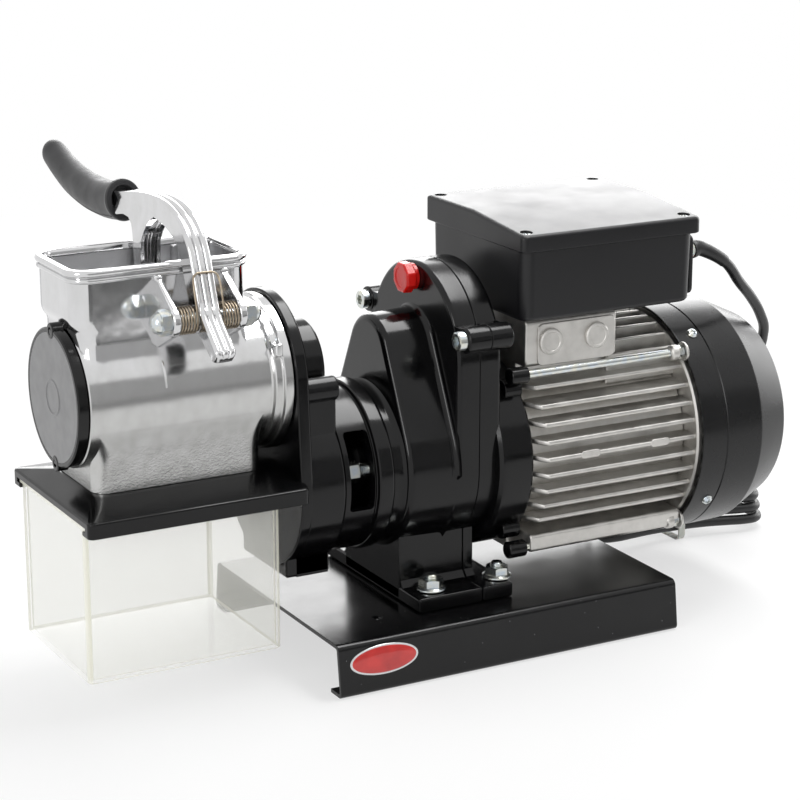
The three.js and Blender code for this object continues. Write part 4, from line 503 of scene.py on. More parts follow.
# %% Resin badge
badge_red = finish("badge_resin", 0xC7140F, 0.3, tint=(12, 2, 0xB8100C, 0xD62018), Coat_Weight=1.0,
                   Coat_Roughness=0.02)
badge_rim = finish("badge_foil", 0xD8D9DA, 0.25, 0.8, relief=[(1.2, 2, 0.01)])
print("finishes:", len(bpy.data.materials))

# %% [markdown]
# ## The mains cord
# The cord leaves the terminal box behind the machine, sags round the fan cover and ends in a hank on the
# table. One curve with a round bevel follows the same places as the CAD cord, so its length is real.

# %% Route of the cord
CORD_RADIUS = 3.4
CORD_EXIT = (177.9, -26, 224)
HANK = {"x": 232, "y": 68, "z": 5.4, "length": 68, "width": 36, "rise": 7.8, "loops": 4}

HANK_LEAN = -0.06


def hank_route():
    """Loops laid on one another and drawn in at the waist by the tie; from the lowest to the highest."""
    squared = lambda value: math.copysign(abs(value) ** 0.8, value)
    places = []
    for step in range(HANK["loops"] * 24 + 1):
        turn = step / 24
        angle = math.pi / 2 - 2 * math.pi * turn
        wide = 1.2 * turn
        along = (HANK["length"] - wide) * squared(math.cos(angle))
        pinch = 0.36 + 0.64 * math.cos(angle) ** 2
        across = (HANK["width"] * pinch - wide) * squared(math.sin(angle))
        places.append(Vector((HANK["x"] + along * math.cos(HANK_LEAN) - across * math.sin(HANK_LEAN),
                              HANK["y"] + along * math.sin(HANK_LEAN) + across * math.cos(HANK_LEAN),
                              HANK["z"] + HANK["rise"] * turn)))
    return places


def straight_on(end, before):
    way = end - before
    way.z = 0
    return end + way.normalized() * 2 * CORD_RADIUS


hank = hank_route()
run = [CORD_EXIT, (184.7, -26, 224), (203, -26, 214), (221, -19, 197), (236, -12, 184), (248, -6, 171),
       (258, 2, 156), (263, 24, 118), (266, 44, 78), (264, 60, 52)]
tail = [(205, 88, 6), (186, 98, 5.5), (165, 108, 5.5), (142, 117, 8), (124, 121, 15), (118, 121, 15)]
route = [Vector(p) for p in run] + [straight_on(hank[-1], hank[-2])] + hank[::-1]
route += [straight_on(hank[0], hank[1])] + [Vector(p) for p in tail]
print("points of the cord:", len(route))

# %% Cord
curve = bpy.data.curves.new("mains_cord", "CURVE")
curve.dimensions = "3D"
curve.bevel_depth = CORD_RADIUS * MM
curve.bevel_resolution = 6
curve.resolution_u = 6
curve.use_fill_caps = True
spline = curve.splines.new("BEZIER")
spline.bezier_points.add(len(route) - 1)
for point, place in zip(spline.bezier_points, route):
    point.co = at(*place)
    point.handle_left_type = point.handle_right_type = "AUTO"
mains_cord = shown("mains_cord", curve)
curve.materials.append(sheath)
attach(mains_cord, "frame")
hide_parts("cord_run", "cord_hank", "cord_tail")
CORD_LENGTH = sum((b - a).length for a, b in zip(route, route[1:])) * MM
print("length of the cord:", round(CORD_LENGTH, 3), "m")

# %% [markdown]
# The plug is moulded round the cord's end: a round body with a finger ridge, a slim neck with rings that
# let it bend, and two round pins.

# %% Plug
PLUG_Y, PLUG_Z = 121, 15
plug_profile = [(69.7, 0), (69.7, 13.6), (70.9, 14.8), (78.8, 14.8), (80, 14.2), (81.2, 14.8), (84, 14.7),
                (92, 12.6), (99, 9.4), (103.7, 7.4)]
for ring in range(4):
    start = 103.7 + ring * 3.3
    plug_profile += [(start, 6.4 - 0.4 * ring), (start + 2.2, 6.3 - 0.4 * ring),
                     (start + 2.2, 4.9 - 0.2 * ring), (start + 3.3, 4.9 - 0.2 * ring)]
plug_profile.append((117.7, 0))
plug = edged(turned(plug_profile, PLUG_Y, PLUG_Z, 64), 0.4, 2, 40)
pin = [(50.7, 0), (50.7, 1.2), (51.9, 2.4), (71, 2.4), (71, 0)]
pins = [turned(pin, PLUG_Y + side * 9.5, PLUG_Z, 32) for side in (-1, 1)]
plug_body = finished(plug, "plug_body", "frame", sheath, ["cord_plug"])
plug_pins = finished(joined(*pins), "plug_pins", "frame", zinc, [])
print("plug:", [round(v * 1000) for v in plug_body.dimensions], "mm")

# %% [markdown]
# A gland holds the cord in the end of the box. Behind its nut a soft tapered sleeve spreads the bend
# over 26 mm of cord, so that the cord never kinks at the hard edge.

# %% Gland and bend relief
def swept(line, radii, sides=32):
    """A round solid along a line of places in millimetres, with a radius at each place."""
    rings = []
    across = Vector((0, 0, 1))
    for i, (place, radius) in enumerate(zip(line, radii)):
        way = (line[min(i + 1, len(line) - 1)] - line[max(i - 1, 0)]).normalized()
        across = (across - way * across.dot(way)).normalized()
        other = way.cross(across)
        rings.append([place + (across * a + other * b) * radius for a, b in circle(1, steps=sides)])
    return through(rings)


def curve_through(points, steps=12):
    """Places along a smooth curve through points (Catmull and Rom's spline)."""
    points = [Vector(p) for p in points]
    padded = [2 * points[0] - points[1]] + points + [2 * points[-1] - points[-2]]
    line = []
    for a, b, c, d in zip(padded, padded[1:], padded[2:], padded[3:]):
        for step in range(steps):
            t = step / steps
            line.append(0.5 * (2 * b + (c - a) * t + (2 * a - 5 * b + 4 * c - d) * t * t
                               + (3 * b - a - 3 * c + d) * t ** 3))
    return line + [points[-1]]


gland_nut = edged(drawn(circle(8, -26, 224, 6), 162.7, 167.2), 0.8, 2, 25)
gland_nose = turned([(166, 0), (166, 6.4), (173.5, 6.2), (176.6, 5.2), (177.6, 4.6), (177.6, 0)], -26, 224, 48)
finished(joined(gland_nut, gland_nose), "gland", "frame", nylon, ["cord_gland"])
RELIEF_END = 203.5
relief_line = [p for p in curve_through(run[:4], 24) if p.x <= RELIEF_END]
relief_radii = [5.6 - 1.7 * i / (len(relief_line) - 1) for i in range(len(relief_line))]
bend_relief = finished(swept(relief_line, relief_radii, 40), "bend_relief", "frame", sheath, [])
print("bend relief:", len(relief_line), "rings")

# %% [markdown]
# A nylon tie holds the hank together. It is a thin band that lies round all the turns, with its small
# lock on the outside.

# %% Cable tie
tie_half, tie_top = 17.3, 41.4
outer = rounded_box(HANK["y"] - tie_half - 1.3, HANK["y"] + tie_half + 1.3, 0, tie_top + 1.3, 5)
inner = rounded_box(HANK["y"] - tie_half, HANK["y"] + tie_half, 1.3, tie_top, 3.8)
band = cut(drawn(outer, 229.6, 234.4), drawn(inner, 229, 235))
lock = edged(box(228.6, 235.4, HANK["y"] + 4, HANK["y"] + 10, tie_top + 0.6, tie_top + 4.6), 0.8)
cable_tie = finished(joined(band, lock), "hank_tie", "frame", nylon, ["cable_tie"])

# %% [markdown]
# ## The base
# The base is one sheet, 2.5 mm thick, bent into a low channel with splayed sides and lips turned in at
# the table. Drawing its section once along x gives every bend the same round edge. Rounding happens in
# the outline, corner by corner, because a press leaves 4 mm outside a bend and only 1.5 mm inside it.

# %% Rounded outlines
def rounded(outline, radii, steps=6):
    """A closed outline whose corners are arcs; one radius for all corners or a list of them."""
    corners = [Vector(p) for p in outline]
    sizes = radii if isinstance(radii, (list, tuple)) else [radii] * len(corners)
    line = []
    for i, (corner, radius) in enumerate(zip(corners, sizes)):
        back = corners[i - 1] - corner
        on = corners[(i + 1) % len(corners)] - corner
        half = back.angle(on) / 2
        if radius <= 0 or half > math.radians(89.5):
            line.append(tuple(corner))
            continue
        reach = min(radius / math.tan(half), 0.49 * back.length, 0.49 * on.length)
        start, end = corner + back.normalized() * reach, corner + on.normalized() * reach
        centre = corner + (back.normalized() + on.normalized()).normalized() * (reach / math.cos(half))
        first = start - centre
        sweep = first.angle_signed(end - centre)
        for step in range(steps + 1):
            spot = first.copy()
            spot.rotate(Matrix.Rotation(-sweep * step / steps, 2))
            line.append(tuple(centre + spot))
    return line


section = [(83, 31.5), (87, 0), (73, 0), (73, 2.5), (84.2, 2.5), (80.5, 29)]
radii = [4, 3, 0.4, 0.4, 1, 1.5]
section = section + [(-y, z) for y, z in reversed(section)]
sheet = drawn(rounded(section, radii + radii[::-1]), -101, 133)
cut(sheet, drawn(circle(3, -59, -52, 48), 26, 35, "z"))
base = finished(edged(sheet, 0.35, 2, 50), "sheet_base", "frame", powder_coat, ["base_plate"])
print("base:", [round(v * 1000) for v in base.dimensions], "mm")

# %% [markdown]
# The badge is a resin dome on a foil oval. Rings that shrink towards the middle and rise along a circle
# give the dome; it lies on the sloping front of the base.

# %% Badge
SLOPE = Vector((0, -4, -31.5)).normalized()
OUT = Vector((0, -31.5, 4)).normalized()
BADGE = Vector((-72, -84.55, 19.3))


def oval(half_length, half_height, heights):
    """A closed low solid on the slope: pairs of share of the oval and height above the sheet."""
    rings = []
    for share, height in heights:
        rings.append([BADGE + Vector((1, 0, 0)) * half_length * share * a
                      + (SLOPE * half_height * share * b + OUT * height) for a, b in circle(1)])
    return through(rings)


rim_heights = [(1, -0.2), (1, 0.35), (0.985, 0.5), (0.8, 0.5), (0.8, -0.2)]
dome_heights = [(1, 0)] + [(math.cos(a * math.pi / 20), 0.35 + 1.1 * math.sin(a * math.pi / 20))
                          for a in range(10)] + [(0.02, 1.45)]
finished(oval(22.3, 8.9, rim_heights), "badge_rim", "frame", badge_rim)
finished(oval(21.2, 7.9, dome_heights), "badge_dome", "frame", badge_red)
print("badge on the slope at", [round(v, 4) for v in at(*BADGE)])

# %% [markdown]
# ## Screws and nuts
# Four bolts come up through the base and the foot; each has a flange nut on top. A nut is a hexagon
# whose corners a cone has cut away. A steep cone and the hexagon are turned and drawn, and what both hold
# is the nut. The thread that stands out is drawn as rings 1.25 mm apart, its real pitch.

# %% Nuts, heads and threads
def placed(piece, place, degrees, axis):
    """Turns a piece that was made at the motor's seam about an axis and takes it to a place."""
    turn = Matrix.Translation(at(*place)) @ Matrix.Rotation(math.radians(degrees), 4, axis)
    piece.data.transform(turn @ Matrix.Translation(-at(0, 0, 0)))
    return piece


def hexagon_nut(x0, x1, across, y=0, z=0, chamfer=1.0, turn=0):
    radius = across / math.sqrt(3)
    cone = turned([(x0, 0), (x0, radius - chamfer), (x0 + chamfer * 0.6, radius + 0.05),
                   (x1 - chamfer * 0.6, radius + 0.05), (x1, radius - chamfer), (x1, 0)], y, z, 48)
    return worked(drawn(circle(radius, y, z, 6, turn), x0, x1), cone, "INTERSECT")


def thread(x0, x1, radius, y=0, z=0, pitch=1.25):
    profile = [(x0, 0), (x0, radius - 0.5)]
    x = x0
    while x + pitch <= x1:
        profile += [(x + 0.1, radius - 0.5), (x + pitch / 2, radius), (x + pitch - 0.1, radius - 0.5)]
        x += pitch
    return turned(profile + [(x1, radius - 0.9), (x1, 0)], y, z, 32)


BOLTS = [(-20, -47), (-20, 47), (26, -47), (26, 47)]
for i, (x, y) in enumerate(BOLTS):
    head = hexagon_nut(-12.2, -6.6, 13)
    shank = turned([(-8, 0), (-8, 4), (5, 4), (5, 0)], 0, 0, 32)
    flange = turned([(2.5, 0), (2.5, 8.6), (2.9, 9), (3.7, 8.9), (4.6, 7.6), (4.6, 0)], 0, 0, 64)
    nut = hexagon_nut(3.6, 9.3, 13, chamfer=0.9, turn=(12, 40, 25, 5)[i])
    end = thread(8, 12, 4)
    bolt = placed(joined(head, shank, flange, nut, end), (x, y, 38.6), -90, "Y")
    finished(bolt, f"foot_fixing_{i + 1}", "frame", zinc, [f"foot_bolt_{i + 1}"])


def cad_places(name):
    """The corners of a CAD node's box, in millimetres of the machine."""
    return [[round(v, 1) for v in (corner - ORIGIN) / MM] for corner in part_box(name)]


print("foot bolt in CAD:", cad_places("foot_bolt_1"))

# %% [markdown]
# ## The gear case
# A casting has draft: its walls lean a little so that it leaves the mould, and its edges are round. A
# loft through outlines that shrink near the ends gives both exactly. The case is a stack of such lofts,
# one for each form that the pattern maker added to it.

# %% Castings with round edges
def cast(shape, start, end, start_radius=1.0, end_radius=1.0, draft=0.0, axis="x", steps=5):
    """A loft whose ends are rounded; shape(inset) gives the outline drawn in by an inset in mm."""
    rings = []
    quarter = [math.pi / 2 * i / steps for i in range(steps + 1)]
    for edge, radius, turns in ((start, start_radius, quarter), (end, -end_radius, quarter[::-1])):
        for turn in turns:
            along = edge + radius * (1 - math.cos(turn))
            lean = draft * (1 - (along - start) / (end - start))
            rings.append((along, shape(abs(radius) * (1 - math.sin(turn)) + lean)))
    return lofted(rings, axis)


def block(x0, x1, y0, y1, z0, z1, corner=2.0, edge=1.0, axis="x"):
    """A cast block: rounded corners round one axis and rounded edges at its ends."""
    spans = {"x": (y0, y1, z0, z1, x0, x1), "y": (x0, x1, z0, z1, y0, y1), "z": (x0, x1, y0, y1, z0, z1)}
    a0, a1, b0, b1, start, end = spans[axis]
    shape = lambda inset: rounded_box(a0 + inset, a1 - inset, b0 + inset, b1 - inset,
                                      max(corner - inset * 0.6, 0.3), 5)
    return cast(shape, start, end, edge, edge, axis=axis, steps=4)


# %% [markdown]
# The front half holds the wheels. On its upper face stands the tower over the idler shaft; in front of
# that come the neck, the band and the bell that the grater bolts onto. The bell has two windows, through
# which a spanner reaches the nuts.

# %% Front half of the gear case
CASE, TOWER = 54.0, 25.5
case_outline = lambda inset: pear(MOTOR_Z, CASE - inset, DRUM_Z, CASE - inset)
tower_outline = lambda inset: pear(MOTOR_Z, CASE - inset, DRUM_Z, TOWER - inset)
GEAR_ROOM = pear(MOTOR_Z, 50, DRUM_Z, 50)
upper = cut(cast(case_outline, -6, 8.85, 3.2, 0.5), drawn(GEAR_ROOM, -3, 10))
tower = cut(cast(tower_outline, -38, -2, 4.5, 0.2, draft=1.0), drawn(pear(MOTOR_Z, 50, DRUM_Z, 21.5), -34, 0))
root_rings = [(-9.5, tower_outline(0.3))]
for i in range(7):
    turn = math.pi / 2 * i / 6
    root_rings.append((-9.5 + 4.0 * math.sin(turn), tower_outline(-4.5 * (1 - math.cos(turn)))))
root_rings = [(x, [(y * min(1, 53.5 / max(math.hypot(y, z - MOTOR_Z), 1e-6)) if z < MOTOR_Z else y, z)
               for y, z in outline]) for x, outline in root_rings]
tower_root = lofted(root_rings)
neck = turned([(-47, 0), (-47, 48.5), (-42, 48.5), (-40, 48.8), (-38.4, 49.6), (-37, 50.6), (-37, 0)])
band = turned([(-57, 40), (-57, 50.6), (-56.6, 51.5), (-55.8, 52), (-48.4, 52), (-47.2, 51.6), (-46.2, 50.6),
               (-46, 49), (-46, 40)])
bell = turned([(-78.7, 44), (-78.7, 48.9), (-77.8, 49.9), (-58.6, 50), (-58.2, 49.2), (-57.4, 49.2),
               (-56, 50), (-56, 44)], steps=128)
floor = turned([(-56, 20.4), (-56, 46), (-46, 46), (-46, 20.4)])
hub = turned([(-60.5, 20.4), (-60.5, 25), (-59.5, 26), (-50, 26.8), (-50, 20.4)])
for side in (-1, 1):
    window = box(-74.7, -59, side * 20 if side > 0 else -70, 70 if side > 0 else -20, 98, 144)
    cut(bell, edged(window, 2.2, 4))
edged(bell, 0.6, 2, 50)


def ear_forms(x0, x1, start_round, end_round):
    forms = []
    for side in (-1, 1):
        forms.append(cast(lambda inset: circle(8 - inset, side * 60, 195.5, 48), x0, x1, start_round,
                          end_round))
        inner, outer = sorted((side * 44, side * 60))
        forms.append(block(x0 + 0.8, x1 - 0.3, inner, outer, 187.8, 201.6, 3, 0.5))
    return forms


def foot_forms(x0, x1):
    plate = block(x0, x1, -60, 60, 31.8, 40.8, 1.2, 1.6)
    wall = cut(block(x0, min(x1, 16), -35, 35, 33, 92, 1.5, 0.8), drawn(circle(50, 0, MOTOR_Z, 128), -34, 20))
    slope = [(-38.5, 40.5), (38.5, 40.5), (35, 44.5), (-35, 44.5)]
    return [plate, wall, drawn(slope, x0 + 0.8, min(x1, 16) - 0.2)]


front = joined(upper, tower, tower_root, neck, band, bell, floor, hub, *ear_forms(-6, 8.85, 1.4, 0.5),
               *foot_forms(-35, 8.85))
finished(front, "case_front", "frame", enamel, ["gear_case_front"], 28)
print("front half:", len(front.data.polygons), "faces")

# %% [markdown]
# The rear half closes the case and spreads into the round flange that carries the motor. Four slim ears
# on the flange take the tie rods.

# %% Rear half of the gear case
rear_upper = cut(cast(case_outline, 9.15, 24, 0.5, 3.2), drawn(GEAR_ROOM, 8, 20.5))
flange = turned([(19.6, 30), (19.6, 52), (20.4, 58.6), (22.2, 60.6), (24, 61), (41.6, 61), (42.7, 60.4),
                 (43, 59.4), (43, 50.2), (26, 50.2), (26, 30)], steps=128)
boss = turned([(23, 0), (23, 19), (33.6, 18), (36.5, 16.4), (37, 14), (37, 0)], 0, DRUM_Z)
RODS = [(-50, 166.5), (50, 166.5), (50, 57.5), (-50, 57.5)]
slim_ears = []
for y, z in RODS:
    slim_ears.append(cast(lambda inset: circle(5.2 - inset, y, z, 40), 31, 43, 1.2, 0.6))
    middle = (y * 0.8, MOTOR_Z + (z - MOTOR_Z) * 0.8)
    slim_ears.append(cast(lambda inset: circle(6.4 - inset, *middle, 40), 31, 42.8, 1.2, 0.4))
step_block = block(9.15, 30, -35, 35, 71, 92, 1.5, 1.5)
rear_ears = [cut(form, drawn(GEAR_ROOM, 8, 20.5)) for form in ear_forms(9.15, 24, 0.5, 1.4)]
rear = joined(rear_upper, flange, boss, step_block, *slim_ears, *rear_ears, *foot_forms(9.15, 30))
finished(rear, "case_rear", "frame", enamel, ["gear_case_rear"], 28)
print("rear half:", len(rear.data.polygons), "faces")

# %% [markdown]
# Two zinc-plated cap screws close the case. Each has a round head with a six-lobed socket, which a circle
# whose radius swings six times draws.

# %% Case screws
def socket_screw(head_x, end_x, y, z, head_radius=5.8, head_height=5.0, socket_radius=2.9):
    x = head_x - head_height
    head = turned([(x + 0.6, 0), (x + 0.1, head_radius - 1.1), (x + 0.5, head_radius - 0.3),
                   (x + 1.1, head_radius), (head_x, head_radius), (head_x, 0)], y, z, 64)
    lobes = []
    for i in range(60):
        radius = socket_radius * (1 + 0.11 * math.cos(6 * 2 * math.pi * i / 60))
        lobes.append((y + radius * math.cos(2 * math.pi * i / 60), z + radius * math.sin(2 * math.pi * i / 60)))
    cut(head, drawn(lobes, x - 1, x + 3))
    return joined(head, turned([(head_x - 1, 0), (head_x - 1, 2.5), (end_x, 2.5), (end_x, 0)], y, z, 32))


for i, side in enumerate((-1, 1)):
    finished(socket_screw(-6.3, 18, side * 60, 195.5), f"case_screw_{i + 1}_dressed", "frame", zinc,
             [f"case_screw_{i + 1}"])

# %% [markdown]
# The oil plug unscrews. It is a red moulding with a round collar and an eight-sided head whose corners
# are well rounded and whose front is slightly hollow.

# %% Oil plug
PLUG_HEIGHT = 222
plug_collar = turned([(-8.9, 0), (-8.9, 7.4), (-8.4, 8), (-6.3, 8), (-6.3, 0)], 0, PLUG_HEIGHT, 64)
sides_of_head = lambda inset: rounded(circle(9.8 - inset, 0, PLUG_HEIGHT, 8, 22.5), 1.6, 4)
plug_head = cast(sides_of_head, -15.2, -9.3, 1.2, 0.5, draft=0.25)
cut(plug_head, turned([(-17, 0), (-17, 6.4), (-14.9, 6.1), (-14.7, 5.4), (-14.7, 0)], 0, PLUG_HEIGHT, 64))
plug_neck = turned([(-9.6, 0), (-9.6, 6.6), (-8.2, 6.6), (-8.2, 0)], 0, PLUG_HEIGHT, 48)
plug_thread = turned([(-7, 0), (-7, 5), (-2, 5), (-2, 0)], 0, PLUG_HEIGHT, 48)
finished(joined(plug_head, plug_neck, plug_collar, plug_thread), "oil_plug_dressed", "plug", red_plastic,
         ["oil_plug"], 25)
print("oil plug in CAD:", cad_places("oil_plug"))

# %% [markdown]
# Inside each window of the bell a stud carries a nut that clamps the grater's flange.

# %% Studs of the bell
for i, side in enumerate((-1, 1)):
    stud = thread(-78.5, -50, 4, side * 34, 118)
    nut = hexagon_nut(-70.85, -63.85, 13, side * 34, 118, 1.1, 15)
    finished(joined(stud, nut), f"bell_stud_{i + 1}", "frame", zinc, [f"bell_bolt_{i + 1}"])

# %% [markdown]
# ## The grater's housing
# A second black casting carries the grater: an upright disc, a round case with a narrow boss above it,
# lugs for the clamp bolts, a low block, and the frame under the chute. Its top slopes up to the chute.

# %% Grater housing
disc_outline = lambda inset: pear(MOTOR_Z, 53 - inset, DRUM_Z, 48 - inset)
disc = cast(disc_outline, -108, -100, 1.2, 2.0)
low_case = cast(lambda inset: circle(53 - inset, 0, MOTOR_Z, 128), -102, -79.3, 1, 1.8)
boss_case = cast(lambda inset: circle(28 - inset, 0, DRUM_Z, 96), -102, -79.3, 1, 2.5)
neck_case = block(-102, -79.3, -27, 27, MOTOR_Z, DRUM_Z, 1, 2.2)
lugs = []
for side in (-1, 1):
    lugs.append(cast(lambda inset: circle(7.5 - inset, side * 38, 172, 48), -102, -79.3, 1, 1.6))
    inner, outer = sorted((side * 23, side * 41))
    lugs.append(block(-102, -79.5, inner, outer, MOTOR_Z, 172, 1, 1.6))
low_block = block(-107.6, -79.3, -30, 30, 57, 75, 1.6, 1.4)
web_points = [(-30, 57), (30, 57), (30, 70), (44, 84), (-44, 84), (-30, 70)]
low_web = drawn(web_points, -101, -80.4)
cut(low_block, drawn(circle(2, -24.8, 66, 32), -112, -104))
rim_shape = lambda inset: rounded_box(-241 + inset, -106, -60 + inset, 60 - inset, 3.5, 6)
rim = cast(rim_shape, 111.5, 121, 0.7, 1.3, axis="z")
ledge = lofted([(120, rounded_box(-240, -106, -59, 59, 3, 6)),
                (121.2, rounded_box(-240, -106, -58.4, 58.4, 3, 6)),
                (126.4, rounded_box(-226.5, -106, -36, 36, 8, 6)),
                (127, rounded_box(-225, -106, -34.5, 34.5, 8, 6))], "z")
slot = drawn([(-49.6, 110), (49.6, 110), (49.6, 114.3), (53.5, 114.3), (53.5, 117), (-53.5, 117),
              (-53.5, 114.3), (-49.6, 114.3)], -245, -118)
for form in (rim, ledge):
    cut(form, box(-222, -125, -29, 29, 105, 135))
cut(rim, slot)
housing = joined(disc, low_case, boss_case, neck_case, *lugs, low_block, low_web, rim, ledge)
grater_housing = finished(housing, "housing_casting", "frame", enamel, ["grater_housing", "housing_cover"],
                          28)
print("housing:", [round(v * 1000) for v in grater_housing.dimensions], "mm")

# %% [markdown]
# ## The polished body
# Barrel, chute and hopper are one casting. Where the flat front of the chute leaves the barrel, and where
# the hopper stands on it, the metal flows from one form into the next. A loft follows that flow: each
# level of it is a rounded rectangle whose front moves out along a curve that ends on the barrel.

# %% Barrel
barrel_profile = [(-230, 36), (-230, 40.2), (-229.4, 40.9), (-228, 41), (-120.6, 41), (-119.6, 41.6),
                  (-119.3, 42.6), (-119, 43.5), (-118.3, 44), (-115, 44), (-114.4, 44.4), (-114.2, 45.2),
                  (-113.6, 45.9), (-112.8, 46), (-109, 46), (-108.4, 45.4), (-108.3, 36)]
barrel = turned(barrel_profile, 0, DRUM_Z, 160)
cut(barrel, box(-221.7, -125.4, -24, 24, 200, 225), box(-222, -125, -29, 29, 120, 150))


def bend(start, control, end, share):
    """A point of a curve that leaves the start towards a control point and comes to the end from it."""
    a, b, c = Vector(start), Vector(control), Vector(end)
    return a.lerp(b, share).lerp(b.lerp(c, share), share)


# %% [markdown]
# The chute's front comes down from the barrel at a tangent and turns upright 30 mm lower. Its two ends
# flare outwards in the same way to meet the barrel's end and its shoulder.

# %% Chute
levels = [(127.3, 0, 0)]
for i in range(13):
    front = bend((32, 132), (32, 145.7), (38.53, 163.6), i / 12)
    flare = max(0, (front.y - 143) / 20.6) ** 2
    levels.append((front.y, front.x - 32, flare))
chute_outside = []
for z, out, flare in levels:
    chute_outside.append((z, rounded_box(-225 - 4.6 * flare, -122 + 2.4 * flare, -32 - out, 32 + out,
                                         9.5 - 5 * flare, 8)))
chute = cut(lofted(chute_outside, "z"), drawn(rounded_box(-222, -125, -29, 29, 6.5, 8), 126, 150, "z"))
print("chute levels:", len(chute_outside))

# %% [markdown]
# The hopper is a tub with walls 3 mm thick and wide round corners. Two beads run round its rim: a thick
# one on top, which is comfortable to grip, and a thinner one under it.

# %% Hopper
def tub(out, wall_x=0):
    return rounded_box(-233.5 - out + wall_x, -128.5 + out, -30.5 - out, 30.5 + out, 11 + out, 10)


outside = []
for i in range(9):
    spot = bend((36.1, 197), (30.5, 207.4), (30.5, 214), i / 8)
    flow = spot.x - 30.5
    outside.append((spot.y, rounded_box(-230 - 0.3 * flow, -128.5 + flow, -spot.x, spot.x, 11, 10)))
outside += [(218, rounded_box(-230, -128.5, -30.5, 30.5, 11, 10)), (220, tub(0, 3.0)), (222.5, tub(0, 1.2)),
            (225, tub(0, 0.2)), (227, tub(0)), (247.2, tub(0))]
for middle, size in ((249.0, 1.4), (253.0, 2.0)):
    for i in range(9):
        angle = math.radians(-80 + 20 * i)
        reach = size * 0.25 + size * math.cos(angle)
        outside.append((middle + size * math.sin(angle), tub(min(reach, 2.5))))
outside.append((255, tub(-0.3)))
inside = [(z, rounded_box(-222, -131.5, -27.5, 27.5, 5, 10)) for z in (214, 222)]
inside += [(222.3, tub(-3.2)), (251, tub(-3)), (253.6, tub(-2.6)), (254.6, tub(-1.9)), (256, tub(-0.9))]
hopper = cut(lofted(outside, "z"), lofted(inside, "z"), box(-221.7, -131.5, -24, 24, 190, 220))
print("hopper levels:", len(outside))

# %% [markdown]
# Two ears on the hopper's front carry the lever's rod. Each is a boss with a triangular web. A ridge, where
# the two halves of the mould met, runs over the barrel's upper front. A small fluted post stands against
# the hopper's back wall, on the inside. That wall is blasted; the rule for its faces uses places in the
# frame, which lie 5.5 mm and -48.7 mm from the machine's own in x and y.

# %% Ears, mould ridge and the blasted wall
def second_finish(piece, material, chosen):
    """Gives another finish to the faces that a rule on their middle, in mm, and the face chooses."""
    piece.data.materials.append(material)
    faces = [face for face in piece.data.polygons if chosen(*(face.center / MM), face)]
    for face in faces:
        face.material_index = 1
    print(piece.name, "faces with a second finish:", len(faces))


LEVER_X = -164.5
PIVOT = (-50, 226)
ear_outline = [(-52.5, 217.6), (-28.5, 206), (-28.5, 248.6), (-31.5, 248.6), (-34.6, 245.8), (-55, 233.4)]
ear_shape = lambda inset: rounded([(y + inset * (0.5 if y < -40 else 0), z + (inset if z < 220 else -inset))
                                   for y, z in ear_outline], [3, 0, 0, 2, 3, 4], 5)
ears = []
for side in (-1, 1):
    x0, x1 = sorted((LEVER_X + side * 17.9, LEVER_X + side * 21.9))
    ears.append(cast(ear_shape, x0, x1, 1.2, 1.2, steps=3))
    ears.append(cast(lambda inset: circle(8.5 - inset, *PIVOT, 48), x0 - 0.3, x1 + 0.3, 1.3, 1.3))
    bump = [(LEVER_X + side * 19.9 + dx, radius) for dx, radius in
            ((-2.6, 0), (-2.5, 1.2), (-1.6, 2.2), (0, 2.6), (1.6, 2.2), (2.5, 1.2), (2.6, 0))]
    ears.append(turned(bump, -31.6, 246.6, 24))
ridge = turned([(-185.4, 40.5), (-185, 41.12), (-184.4, 41.3), (-183.8, 41.12), (-183.4, 40.5)], 0, DRUM_Z, 160)
cut(ridge, box(-190, -180, -60, 60, 120, 186), box(-190, -180, -20, 60, 186, 240))
lug = cast(lambda inset: rounded_box(-118.6 + inset, -114.2 - inset, -43.8 + inset, -36.4 - inset, 1.2, 5),
           196, 203.4, 1.2, 1.2, axis="z")
post = [block(-151.2, -146.3, 25.9, 28.5, 238, 251, 1, 0.6, "z")]
post += [block(x, x + 1.1, 25.2, 26.6, 238.6, 250.4, 0.5, 0.4, "z") for x in (-150.7, -147.9)]
body = joined(barrel, hopper, *ears, ridge, lug, *post)
finished(body, "barrel_and_hopper", "frame", polished, ["grater_body"], 30)
second_finish(body, blasted, lambda x, y, z, face: -231.5 < x < -130.5 and abs(y) < 28.6 and 214 < z < 252)
finished(chute, "chute", "frame", polished, [], 30)
print("polished body:", len(body.data.polygons), "faces")

# %% [markdown]
# The end cap closes the barrel. It is a moulded nylon lid with a shallow ring in its middle and an eyelet
# above and below, each with its own small washer rim. The lid's rim is glossier than its face.

# %% End cap
cap_face = turned([(-236.6, 0), (-236.6, 8.9), (-236.95, 9.3), (-237.1, 9.9), (-236.95, 10.5), (-236.6, 10.9),
                   (-236.6, 36.9), (-236.2, 37.4), (-235, 37.5), (-235, 0)], 0, DRUM_Z, 128)
cap_rim = turned([(-236.7, 37), (-236.7, 38.9), (-236, 39.8), (-235, 40), (-230.9, 40), (-230.3, 39.4),
                  (-230.3, 37)], 0, DRUM_Z, 128)
cap_back = turned([(-235.2, 0), (-235.2, 39), (-230.3, 39), (-230.3, 18), (-219.3, 18), (-219.3, 8),
                   (-226, 8), (-226, 0)], 0, DRUM_Z, 96)
eyelets, cap_screws = [], []
for side in (-1, 1):
    z = DRUM_Z + side * 38.4
    eyelets.append(turned([(-236.9, 2.3), (-237, 2.7), (-236.9, 4.2), (-236.4, 4.7), (-230.3, 4.7),
                           (-230.3, 2.3)], 0, z, 48))
    cap_screws.append(turned([(-235.6, 0), (-235.7, 1.4), (-235.2, 2.3), (-233, 2.3), (-233, 0)], 0, z, 32))
finished(cap_face, "cap_face", "frame", cap_nylon, ["end_cap"])
